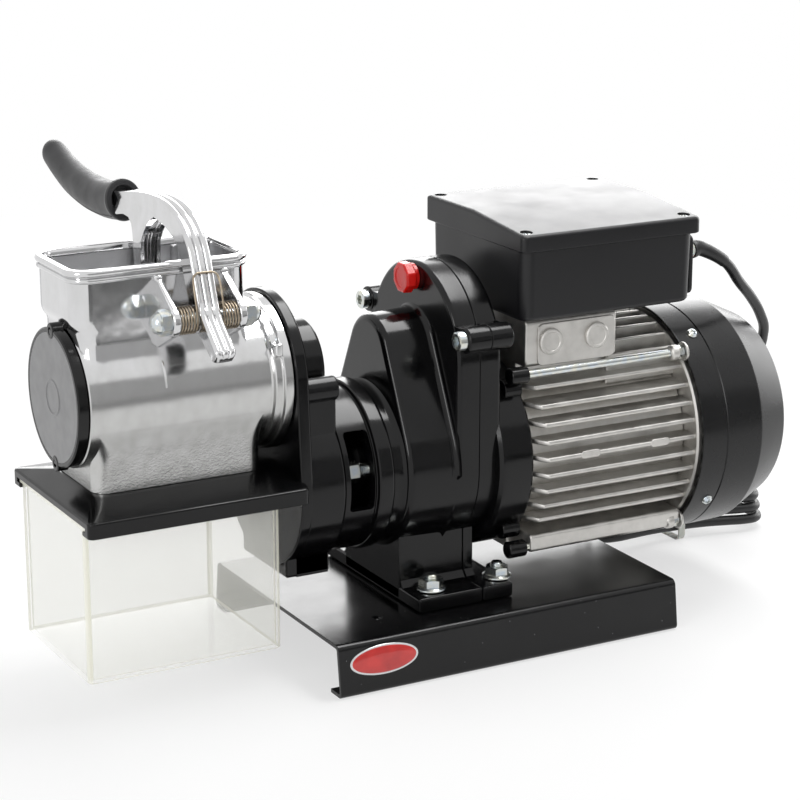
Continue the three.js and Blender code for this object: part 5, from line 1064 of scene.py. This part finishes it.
finished(joined(cap_rim, cap_back, *eyelets), "cap_rim", "frame", rim_nylon, [])
finished(joined(*cap_screws), "cap_screws", "frame", zinc, [])
print("cap:", [round(v * 1000) for v in cap_face.dimensions], "mm")

# %% [markdown]
# ## The lever
# The lever is cast in one piece: a bow with three round beads side by side, a fluted tail, and a
# channelled leg that carries the presser. Each stretch is swept along its own line with a section that
# widens and narrows; a section drawn once keeps the flutes parallel, as in the real mould.

# %% Swept sections
def swept_section(line, sections):
    """A closed solid along a line of (x, y, z): each place gets an outline of (across x, outwards)."""
    rings = []
    for i, (place, section) in enumerate(zip(line, sections)):
        way = (line[min(i + 1, len(line) - 1)] - line[max(i - 1, 0)]).normalized()
        across = Vector((1, 0, 0))
        outwards = across.cross(way).normalized()
        rings.append([place + across * a + outwards * b for a, b in section])
    return through(rings)


def fluted(half_width, front, back, depth=1.3):
    """Section with three round beads side by side on its front and a round back."""
    outline = []
    for i in range(49):
        across = -1 + 2 * i / 48
        bead = abs(math.cos(1.5 * math.pi * across)) ** 0.6
        outline.append((half_width * across, front - depth * (1 - bead)))
    for i in range(13):
        angle = math.pi * i / 12
        outline.append((half_width * 0.96 * math.cos(angle), -back - 1.0 * math.sin(angle)))
    return outline


# %% [markdown]
# The bow's line starts at the tail's tip, bends up at the pivot, and runs over into the grip. It is
# thickest in its middle and thins towards both ends.

# %% Bow, tail and hub
bow_points = [(LEVER_X, y, z) for y, z in
              ((-75.4, 207.6), (-70.4, 211.8), (-63.4, 217.4), (-56.4, 223.2), (-50.9, 229.6), (-47.4, 237),
               (-44, 245.4), (-40.5, 254), (-36.2, 262.2), (-29.2, 270), (-18, 275.6), (-4, 278.6),
               (12, 279.3), (30, 277.8), (48, 275.2), (60, 273.6), (68, 272.4))]
bow_line = curve_through(bow_points, 6)
bow_sections = []
for i, place in enumerate(bow_line):
    share = i / (len(bow_line) - 1)
    tip = math.sqrt(1 - max(0, (0.035 - share) / 0.0365) ** 2)
    front = 4.4 + 2.2 * math.sin(math.pi * min(share * 0.95, 1))
    back = 3.4 + 3.8 * math.sin(math.pi * share)
    width = (6.2 + 0.3 * math.sin(math.pi * share)) * (0.5 + 0.5 * tip)
    bow_sections.append(fluted(width, front * tip, back * tip, 1.7 * tip * (1 - share ** 3)))
bow = swept_section(bow_line, bow_sections)
hub = cast(lambda inset: circle(8 - inset, *PIVOT, 48), LEVER_X - 6.5, LEVER_X + 6.5, 1, 1)
print("bow:", len(bow_line), "places")

# %% [markdown]
# The leg comes down from the bow behind its inner corner. It leans to the left on its way to the presser
# and is hollowed at the front to a channel with a pointed top, which saves metal and cools evenly. Three
# thin flutes run down the bottom of the channel.

# %% Leg and web
web_outline = [(14.2, 256), (13.8, 262), (12.4, 266.8), (9.4, 270.6), (4.6, 273.2), (-3, 274.6), (-3, 279),
               (28, 279), (52, 276), (61, 271), (57.5, 265.6), (47, 267.6), (39, 267.2), (32.6, 264.4),
               (27.6, 260), (24.4, 255)]
web = cast(lambda inset: rounded(web_outline, 2, 3), LEVER_X - 6.2, LEVER_X + 6.2, 0.2, 0.2, steps=1)
leg_outline = [(14.2, 234.9), (14.2, 262), (24, 262), (24, 234.9)]
leg = worked(web, drawn(leg_outline, LEVER_X - 6.2, LEVER_X + 6.2), "UNION")
foot_pad = block(LEVER_X - 9.5, LEVER_X + 9.5, 10.5, 22.2, 234.85, 238.4, 2.5, 1.2, "z")
channel = lofted([(236, rounded_box(-3.9, 3.9, 5, 19.5, 1.5, 5)), (262, rounded_box(-3.9, 3.9, 3, 18.5, 1.5, 5)),
                  (268, rounded_box(-2.8, 2.8, 0, 15, 1.5, 5)),
                  (271.5, rounded_box(-0.9, 0.9, -4, 11, 0.6, 5))], "z")
channel.data.transform(Matrix.Translation((LEVER_X * MM, 0, 0)))
cut(leg, channel)
edged(leg, 1.3, 3, 35)
flutes = [lofted([(z, rounded_box(LEVER_X + middle - 0.6, LEVER_X + middle + 0.6, 17.6, 20.2, 0.5, 4))
                  for z in range(237, 263, 2)], "z") for middle in (-1.9, 0, 1.9)]
LEAN = 5.0
lean_share = lambda z: min(max((275 - z) / 22, 0), 1)
for corner in [v for part in (leg, foot_pad, *flutes) for v in part.data.vertices]:
    share = lean_share((corner.co.z - ORIGIN.z) / MM)
    corner.co.x -= LEAN * MM * share * share * (3 - 2 * share)
lever_arm = finished(joined(bow, hub, leg, foot_pad, *flutes), "lever_casting", "lever", polished, ["lever_arm"],
                     35)
# A few faces of the web, near the grip's mouth, stay as blasted; this rule is in places of the frame too
second_finish(lever_arm, blasted, lambda x, y, z, face: abs(x - LEVER_X + LEAN * lean_share(z)) < 4.2
              and 5 < y < 21 and 236 < z < 271)

# %% [markdown]
# The grip is a rubber sleeve pushed over the end of the lever. Its open end has a thick lip, the sleeve
# narrows and curves up to a round tip, and a thin seam from the mould runs along its lower side.

# %% Grip
grip_points = [(LEVER_X, y, z) for y, z in ((62.6, 272.6), (70, 271), (88, 268.9), (112, 268.9), (140, 272.1),
                                            (162, 277.9), (183, 286))]
grip_line = curve_through(grip_points, 14)
lengths = [0]
for a, b in zip(grip_line, grip_line[1:]):
    lengths.append(lengths[-1] + (b - a).length)
grip_radii = []
for along in lengths:
    share = along / lengths[-1]
    lip = 0.7 * math.exp(-((along - 2.4) / 1.8) ** 2)
    tip = math.sqrt(max(0.0, 1 - max(0, (share - 0.92) / 0.083) ** 2))
    grip_radii.append(max((11.9 - 3.6 * share ** 1.2 + lip) * tip, 0.4))
grip_radii[0] = 10.6
hollow = swept([Vector((LEVER_X, 60, 273.1)), Vector((LEVER_X, 68, 271.4))], [9.3, 8.2], 48)
sleeve = cut(swept(grip_line, grip_radii, 64), hollow)
for corner in sleeve.data.vertices:
    corner.co.x += (at(LEVER_X, 0, 0).x - corner.co.x) * 0.1
seam_line = [place + Vector((-0.62 * radius, 0, -0.74 * radius))
             for place, radius in list(zip(grip_line, grip_radii))[4:-6]]
seam = swept(seam_line, [0.28] * len(seam_line), 8)
finished(joined(sleeve, seam), "lever_sleeve", "lever", grip_rubber, ["lever_grip"], 35)
print("grip:", round(lengths[-1]), "mm long")

# %% [markdown]
# The lever turns on a plain rod with a dome nut at each end. The dome is a turned profile on top of the
# same chamfered hexagon as before.

# %% Pivot rod and dome nuts
def dome_nut(face, side):
    end = face + side * 6
    hexagon = hexagon_nut(min(face, end), max(face, end), 13, *PIVOT, 0.9, 20)
    profile = [(face + side * 3, 0), (face + side * 3, 6.1), (end - side * 0.2, 6.1), (end + side * 1.2, 6.0),
               (end + side * 2.6, 5.2), (end + side * 3.8, 3.9), (end + side * 4.6, 2.4), (end + side * 5, 0)]
    return joined(hexagon, turned(profile, *PIVOT, 48))


pivot = joined(drawn(circle(4, *PIVOT, 64), LEVER_X - 24, LEVER_X + 27.6), dome_nut(LEVER_X - 22.2, -1))
finished(pivot, "pivot_rod_dressed", "frame", zinc, ["pivot_rod"])
finished(dome_nut(LEVER_X + 22.2, 1), "pivot_nut_dressed", "frame", zinc, ["pivot_nut"])
print("pivot rod:", [round(v * 1000) for v in pivot.dimensions], "mm")

# %% [markdown]
# One wire makes the double spring: a straight end against the hopper, a coil round the rod, a hoop over
# the front of the lever, the second coil and the second end. One thin tube follows the whole wire.

# %% Lever spring
def half_spring(side):
    line = [Vector((LEVER_X + side * 17.0, -31.6, 218.6)), Vector((LEVER_X + side * 17.0, -40, 218.6))]
    for i in range(5 * 24 + 7):
        angle = -math.pi / 2 - 2 * math.pi * i / 24
        line.append(Vector((LEVER_X + side * (17.0 - 1.714 * i / 24), PIVOT[0] + 7.4 * math.cos(angle),
                            PIVOT[1] + 7.4 * math.sin(angle))))
    last = line[-1]
    hoop = [(last.x, last.y + 1.2, last.z + 8), (last.x, -53.2, 244), (last.x - side * 0.9, -50.8, 249.6),
            (last.x - side * 3.6, -49.8, 251.4)]
    return line + curve_through([tuple(last)] + hoop, 5)[1:]


wire = half_spring(-1) + half_spring(1)[::-1]
finished(swept(wire, [0.6] * len(wire), 12), "double_spring", "frame", spring_wire, ["lever_spring"],
         60)
print("spring:", len(wire), "places along the wire")

# %% [markdown]
# The presser is a cast block, as long as the hopper and a little over half as deep, that pushes the
# cheese onto the drum. Two low ribs stiffen its top.

# %% Presser
presser = block(-221, -132.5, -8.9, 22.4, 222.6, 234.5, 2.5, 1.2)
ribs = [block(x0, x1, 5.5, 8.5, 233, 236.4, 1, 0.8) for x0, x1 in ((-218, -183), (-155, -136))]
finished(joined(presser, *ribs), "presser_block", "lever", polished, ["presser_plate"])
print("presser:", [round(v * 1000) for v in presser.dimensions], "mm")

# %% [markdown]
# ## The collecting box
# The clear box hangs by its flange in two rails under the frame. It is a thin-walled tub, so it needs a
# real inside: its walls show twice, once in front and once behind, and their narrow edges are denser.

# %% Clear box
def wide_box(half, inset, radius, z):
    """One level of the tub: half its width, how far its ends are drawn in, and its corners."""
    return z, rounded_box(-240 + inset, -120.5 - inset, -half, half, radius, 4)


tub_outside = [wide_box(*level) for level in
               ((48, 1, 2, 22.8), (49, 0, 2.5, 23.8), (49, 0, 2.5, 114.3), (52.6, 0, 1.5, 114.35),
                (52.8, 0, 1.5, 114.6), (52.8, 0, 1.5, 116.5), (52.5, 0.2, 1.5, 116.7))]
tub_inside = [wide_box(*level) for level in ((46.4, 2.6, 1.5, 24.8), (47, 2, 1.5, 25.4), (47, 2, 1.5, 118))]
tub_piece = cut(lofted(tub_outside, "z"), lofted(tub_inside, "z"))
finished(tub_piece, "clear_tub", "box", acrylic, ["collecting_box"], 28)
SMALL_FACE = 2 * 130 * MM * MM
second_finish(tub_piece, acrylic_edge, lambda x, y, z, face: max(abs(part) for part in face.normal) < 0.995
              or face.area < SMALL_FACE)

# %% [markdown]
# ## The motor
# The motor's frame is pressure die-cast with its fins. Each fin thins towards its tip, its front end
# slopes back from the flange, and the tips of all fins lie on one circle about the shaft.

# %% Motor frame
FIN_ROOT, FIN_TIP_CIRCLE, FIN_FOOT_CIRCLE = 22.0, 67.0, 54.5


def fin(middle, side):
    """A flat fin beside the shell, drawn as a loft from the shell's end to the shield."""
    rings = []
    tip = math.sqrt(FIN_TIP_CIRCLE ** 2 - (middle - MOTOR_Z) ** 2)
    foot = math.sqrt(max(FIN_FOOT_CIRCLE ** 2 - (middle - MOTOR_Z) ** 2, 30 ** 2))
    for x, share in ((43.4, 0.05), (45.4, 0.35), (47.4, 0.68), (49, 0.9), (50.4, 1), (156.2, 1), (157.2, 0.93)):
        reach = foot + (tip - foot) * share
        outline = [(side * FIN_ROOT, middle - 2.4), (side * (reach - 1.0), middle - 1.5)]
        for k in range(1, 6):
            turn = math.pi * k / 6
            outline.append((side * (reach - 1.0 + math.sin(turn)), middle - 1.45 * math.cos(turn)))
        outline += [(side * (reach - 1.0), middle + 1.5), (side * FIN_ROOT, middle + 2.4)]
        rings.append((x, outline))
    return lofted(rings)


fins = [fin(116 + 10.2 * k, side) for k in range(-4, 5) for side in (-1, 1)]
shell = turned([(43.3, 50), (43.3, 54.2), (44, 55), (155.2, 55), (155.7, 54.4), (155.7, 50)], steps=128)
columns = [cast(lambda inset: circle(4.9 - inset, y, z, 40), 146, 151.4, 2.5, 0.3) for y, z in RODS]
pads = [block(x - 7, x + 7, -67.2, -60, 113.6, 118.6, 2.2, 0.8, "y") for x in (79.5, 130)]
TOP_FINS = {0: 182.5, 10: 181.5, 20: 179, 30: 174.5, 40: 168.5}
top_fins = [block(106, 156.8, y - 1.5, y + 1.5, 150, TOP_FINS[abs(y)], 0.6, 1.2, "y")
            for y in range(-40, 50, 10)]
neck_block = block(43.8, 107.6, -36, 36, 150, 175, 2, 1)
pad_block = block(43.6, 108.3, -48, 48, 169.5, 199, 3.5, 1.6)
panel = block(51.8, 106.8, -48.9, -44, 169.8, 195.8, 4, 0.7, "y")
mark_profile = [(-4, 0), (-4, 8.6), (1.6, 8.0), (2.3, 7.2), (2.3, 5.9), (1.9, 5.5), (1.9, 0)]
marks = [placed(turned(mark_profile, 0, 0, 48), (x, -48.8, 184.6), -90, "Z") for x in (60.5, 93)]
lower_rib = block(46, 155.6, -53.4, 53.4, 54.2, 65.4, 2.5, 1.2)
rib_neck = block(44, 155.4, -28, 28, 50.4, 80, 3, 1.2)
motor_body = joined(shell, *fins, *columns, *pads, *top_fins, neck_block, pad_block, panel, *marks, lower_rib,
                    rib_neck)
finished(motor_body, "motor_casting", "frame", die_cast, ["motor_frame"], 30)
print("motor:", len(motor_body.data.polygons), "faces")

# %% [markdown]
# The rear shield closes the motor and carries the fan cover on its rim. Tie rods pull it against the
# gear case; each ends in a small hexagon nut.

# %% Shield and tie rods
plate = turned([(155.9, 12), (155.9, 68.6), (156.8, 70), (162.4, 70), (163, 69.4), (163, 71.6), (163.6, 72.1),
                (167.6, 72.1), (168, 71.6), (168, 62), (163, 62), (163, 12)], steps=128)
rod_ears = [cast(lambda inset: circle(6 - inset, y, z, 40), 155.9, 157.4, 0.5, 0.2) for y, z in RODS]
shield_hub = turned([(148, 11.5), (148, 21), (149, 22), (157, 22), (157, 11.5)], steps=64)
finished(joined(plate, shield_hub, *rod_ears), "rear_shield_casting", "frame", die_cast, ["rear_shield"])
for i, (y, z) in enumerate(RODS):
    tie = turned([(38, 0), (38, 2.6), (156.4, 2.6), (157.2, 1.8), (157.2, 0)], y, z, 32)
    nut = hexagon_nut(151.5, 155.4, 7.4, y, z, 0.6, 10)
    finished(joined(tie, nut), f"tie_rod_{i + 1}_dressed", "frame", zinc, [f"tie_rod_{i + 1}"])
print("tie rods:", len(RODS))

# %% [markdown]
# The fan cover is drawn from one sheet: a straight skirt with a shallow bead, a cone, and a flat end with
# slots for the air. Pan-head screws hold the skirt to the shield.

# %% Fan cover
skirt = [(157.6, 72.3), (157.6, 73.7), (158, 73.9), (175.2, 73.7), (175.7, 73.1), (176.2, 73.1), (176.7, 73.7),
         (202, 73.1), (203.4, 72.6), (228, 61.3), (229.4, 60.2), (230, 58.6), (230, 0)]
inner_skirt = [(228.4, 0), (228.4, 58), (227.2, 59.6), (202.8, 71), (201, 71.5)]
cover = turned(skirt + inner_skirt, steps=160)
for i in range(12):
    slot = block(226, 232, -2.5, 2.5, 20, 50, 2.4, 0.2)
    cut(cover, placed(slot, (0, 0, MOTOR_Z), 30 * (i + 0.5), "X"))
finished(cover, "fan_cover_drawn", "frame", satin_paint, ["fan_cover"], 30)


def cross_headed(profile, steps, start, end, half_length, half_width):
    """A screw turned at the motor's seam with a cross cut into its head from start to end."""
    screw = turned(profile, 0, 0, steps)
    return cut(screw, box(start, end, -half_width, half_width, -half_length, half_length),
               box(start, end, -half_length, half_length, -half_width, half_width))


pan_profile = [(-2.2, 0), (-2.0, 1.4), (-1.5, 2.7), (-0.4, 3.4), (0, 3.5), (2.5, 3.3), (2.5, 0)]
cover_screws = []
for degrees in (33, 123, 213, 303):
    screw = placed(cross_headed(pan_profile, 40, -3, -1.2, 2.1, 0.5), (0, 0, 74), 90, "Y")
    cover_screws.append(placed(screw, (170, 0, MOTOR_Z), degrees, "X"))
finished(joined(*cover_screws), "fan_cover_screws", "frame", zinc, [])
print("fan cover:", [round(v * 1000) for v in cover.dimensions], "mm")

# %% [markdown]
# ## The terminal box
# Box and lid are injection-moulded ABS. The lid is thicker than the box's walls, slopes down towards the
# front, and is held by four countersunk screws near its corners.

# %% Terminal box and lid
box_shape = lambda inset: rounded_box(37 + inset, 159 - inset, -56 + inset, 56 - inset, 8 - 0.5 * inset, 8)
box_body = cast(box_shape, 199.3, 242.1, 3.0, 0.4, draft=0.7, axis="z")
cut(box_body, drawn(rounded_box(40, 156, -53, 53, 5, 8), 202.3, 245, "z"), box(150, 170, 15, 29, 210.6, 230.6))
finished(box_body, "box_moulding", "frame", abs_plastic, ["terminal_box"], 28)


def lid_top(y):
    """The lid rises from its front edge to the middle and is level behind it."""
    return 252.3 + 5.9 * min(max((y + 58.5) / 60, 0), 1)


def lid_outline(inset, level):
    """The lid's outline with a place in the middle of each side wall, where its slope begins."""
    line = rounded_box(34.5 + inset, 161.5 - inset, -58.5 + inset, 58.5 - inset, 4, 10)
    half = len(line) // 2
    line = line[:half] + [(34.5 + inset, 1.5)] + line[half:] + [(161.5 - inset, 1.5)]
    return [(x, y, level(y)) for x, y in line]


lid_rings = []
for low, inset in ((242.3, 0.7), (242.7, 0.15), (243.2, 0)):
    lid_rings.append(lid_outline(inset, lambda y: low))
for drop, inset in ((2.2, 0.0), (1.2, 0.25), (0.5, 0.8), (0.1, 1.7), (0, 2.6)):
    lid_rings.append(lid_outline(inset, lambda y: lid_top(y) - drop))
count = len(lid_rings[0])
half = count // 2 - 1
lid_piece = through(lid_rings, [[-1, *range(half + 1)], range(half, count)])
print("lid:", count, "places round its edge")
lid_profile = [(-2.4, 0), (-2.4, 2.2), (-0.9, 3.5), (-0.5, 3.6), (-0.1, 3.2), (0.1, 0)]
lid_screws = []
for x, y in ((41.5, -50.5), (153.5, -50.5), (41.5, 51), (153.5, 51)):
    level = lid_top(y) + (0.2 if y < 0 else 0)
    cut(lid_piece, drawn(circle(3.9, x, y, 32), level - 3.4, level + 2, "z"))
    lid_screws.append(placed(cross_headed(lid_profile, 32, -0.9, 1, 2.2, 0.45), (x, y, level - 1.0), -90, "Y"))
finished(lid_piece, "lid_moulding", "frame", abs_plastic, ["terminal_lid"], 28)
finished(joined(*lid_screws), "lid_screws", "frame", zinc, [])

# %% [markdown]
# The switch sits in the right end of the box on its own plate. Its red rocker is a cylinder's side with
# one shallow hollow for the finger, held in a thin dark frame.

# %% Switch plate and rocker
plate_form = cut(block(159.3, 162.3, -50, 50, 202.3, 239, 4, 1.0), box(158, 164, 14.5, 29.5, 209.6, 231.6))
rocker_frame = cut(block(161.5, 164.8, 12.2, 31.8, 207.4, 233.9, 2, 0.8), box(158, 166, 14.6, 29.4, 209.8, 231.5))
finished(joined(plate_form, rocker_frame), "switch_plate_moulding", "frame", abs_plastic, ["switch_plate"],
         28)
ROCKER_X, ROCKER_Y, ROCKER_Z, ROCKER_RADIUS = 160.1, 22, 220.7, 9.65
ROCKER_GAP = 124
rocker_outline = circle(ROCKER_RADIUS, ROCKER_X, ROCKER_Z, 48, ROCKER_GAP / 2, 360 - ROCKER_GAP)
for step in range(1, 14):
    share = step / 14
    angle = math.radians(ROCKER_GAP * (share - 0.5))
    hollow_depth = 2.1 * math.sin(math.pi * share) ** 0.8
    rocker_outline.append((ROCKER_X + (ROCKER_RADIUS - hollow_depth) * math.cos(angle),
                           ROCKER_Z + ROCKER_RADIUS * math.sin(angle)))
rocker = drawn(rocker_outline, ROCKER_Y - 6.1, ROCKER_Y + 6.1, "y")
finished(edged(rocker, 0.5, 3, 40), "switch_rocker_moulding", "switch", red_plastic, ["switch_rocker"],
         28)
print("rocker turns about", (ROCKER_X, ROCKER_Z))

# %% [markdown]
# ## Inside
# Gears, shafts, bearings, drum, rotor and stator have the right shape in the CAD model already, so they
# stay and only get a finish. A material goes into the slots of the node's own object.

# %% Finishes of the CAD pieces that stay
inside = {machined: ["idler_gear", "idler_shaft", "idler_bearing_front", "idler_bearing_rear", "output_gear",
                     "output_shaft", "output_bearing_front", "output_bearing_rear", "multiplier_gear",
                     "drum_shaft", "drum_bearing_front", "drum_bearing_rear", "motor_bearing_front",
                     "motor_bearing_rear"],
          stainless: ["grating_drum"], laminated: ["rotor"], copper: ["stator"],
          black_plastic: ["cooling_fan"], nylon: ["capacitor", "terminal_block"]}
for material, names in inside.items():
    for name in names:
        for slot in nodes[name].material_slots:
            slot.material = material
print("pieces inside:", sum(len(names) for names in inside.values()))

# %% [markdown]
# ## Floor, light and background
# The photograph shows a white ground and soft shadows, as of white paper under soft boxes. The floor is
# pale and keeps the shadow; part of what the camera, a mirror or clear plastic sees of it shines by
# itself, so that it meets the background in white without putting more light on the machine.

# %% Floor and background
def seen_directly(tree):
    """1 for rays from the camera, from a glossy surface or through a clear one, and 0 for others."""
    path = add(tree, "ShaderNodeLightPath").outputs
    two = add(tree, "ShaderNodeMath", {0: path["Is Camera Ray"], 1: path["Is Glossy Ray"]}, operation="MAXIMUM")
    return add(tree, "ShaderNodeMath", {0: two.outputs["Value"], 1: path["Is Transmission Ray"]},
               operation="MAXIMUM").outputs["Value"]


WHITE_LIGHT = {"Color": (1, 1, 1, 1), "Strength": 1.0}
paper = finish("white_paper", 0xF4F4F4, 0.9)
tree = paper.node_tree
places = tree.nodes["Texture Coordinate"].outputs["Object"]
away = add(tree, "ShaderNodeVectorMath", {0: places}, operation="LENGTH").outputs["Value"]
white = add(tree, "ShaderNodeMapRange", {"Value": away, "From Min": 0.25, "From Max": 1.3, "To Min": 0.62,
                                         "To Max": 1.0}).outputs["Result"]
share = add(tree, "ShaderNodeMath", {0: seen_directly(tree), 1: white}, operation="MULTIPLY")
glow = add(tree, "ShaderNodeEmission", WHITE_LIGHT)
mixed = add(tree, "ShaderNodeMixShader", {0: share.outputs["Value"], 1: tree.nodes["Principled BSDF"].outputs["BSDF"],
                                          2: glow.outputs["Emission"]})
tree.links.new(mixed.outputs["Shader"], tree.nodes["Material Output"].inputs["Surface"])
bm = bmesh.new()
bmesh.ops.create_circle(bm, cap_ends=True, segments=64, radius=14)
floor_mesh = bpy.data.meshes.new("floor")
bm.to_mesh(floor_mesh)
bm.free()
floor_mesh.materials.append(paper)
floor_piece = shown("floor", floor_mesh)
floor_piece.location = (0, 0, -0.0002)
floor_piece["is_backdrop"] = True

world = bpy.data.worlds.new("studio")
world.use_nodes = True
bpy.context.scene.world = world
tree = world.node_tree
ambient = tree.nodes["Background"]
ambient.inputs["Color"].default_value = (1, 1, 1, 1)
ambient.inputs["Strength"].default_value = 0.5
backdrop = add(tree, "ShaderNodeBackground", WHITE_LIGHT)
mixed = add(tree, "ShaderNodeMixShader", {0: seen_directly(tree), 1: ambient.outputs["Background"],
                                          2: backdrop.outputs["Background"]})
tree.links.new(mixed.outputs["Shader"], tree.nodes["World Output"].inputs["Surface"])
print("floor and background of the studio stand")

# %% [markdown]
# Four soft boxes light the machine: one above, one at each side, and a wide one low behind it, whose
# reflection brightens faces seen at a flat angle, such as the lid.

# %% Soft boxes
def soft_box(name, place, target, width, height, watts):
    data = bpy.data.lights.new(name, "AREA")
    data.shape = "RECTANGLE"
    data.size, data.size_y, data.energy = width, height, watts
    lamp = shown(name, data)
    lamp.location = at(*place)
    lamp.rotation_euler = (at(*target) - at(*place)).to_track_quat("-Z", "Y").to_euler()
    lamp.visible_camera = False


middle = (0, 0, 150)
soft_box("box_above", (480, 60, 1400), (-150, 0, 200), 1.0, 0.45, 13)
soft_box("box_left", (-1300, -700, 700), middle, 0.35, 0.8, 5)
soft_box("box_behind", (1350, 2100, 1000), middle, 2.6, 1.3, 44)
soft_box("box_right", (1600, 250, 420), middle, 0.7, 0.9, 7)
print("soft boxes:", len(bpy.data.lights))

# %% [markdown]
# White all round would leave bright metal without any shape. As in a studio, dark and light grey cards
# stand and lie in front of the machine, beside the camera: nothing but mirror-like surfaces sees them.

# %% Cards for the reflections
def card(name, corners, colour):
    mesh = bpy.data.meshes.new(name)
    mesh.from_pydata([at(*corner) for corner in corners], [], [tuple(range(len(corners)))])
    mesh.materials.append(finish(name, colour, 0.9))
    flag = shown(name, mesh)
    flag.visible_camera = flag.visible_diffuse = flag.visible_transmission = flag.visible_shadow = False
    flag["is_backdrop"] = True


card("floor_card_left", [(-300, -2600, 1), (340, -2600, 1), (340, -820, 1), (-300, -820, 1)], 0x585858)
card("floor_card_right", [(410, -2600, 1), (1500, -2600, 1), (1500, -820, 1), (410, -820, 1)], 0x5C5C5C)
card("standing_card", [(-600, -2400, 0), (3200, -2400, 0), (3200, -2400, 1500), (-600, -2400, 1500)], 0xBEBEBE)

# %% [markdown]
# The size of the CAD model and that of the finished one are set side by side, because a
# dressed model must not grow out of its frame.

# %% Sizes and finish
visual_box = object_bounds()
sizes = {"cad_box": [list(corner) for corner in cad_box], "visual_box": [list(corner) for corner in visual_box]}
print("visual box:", sizes["visual_box"])
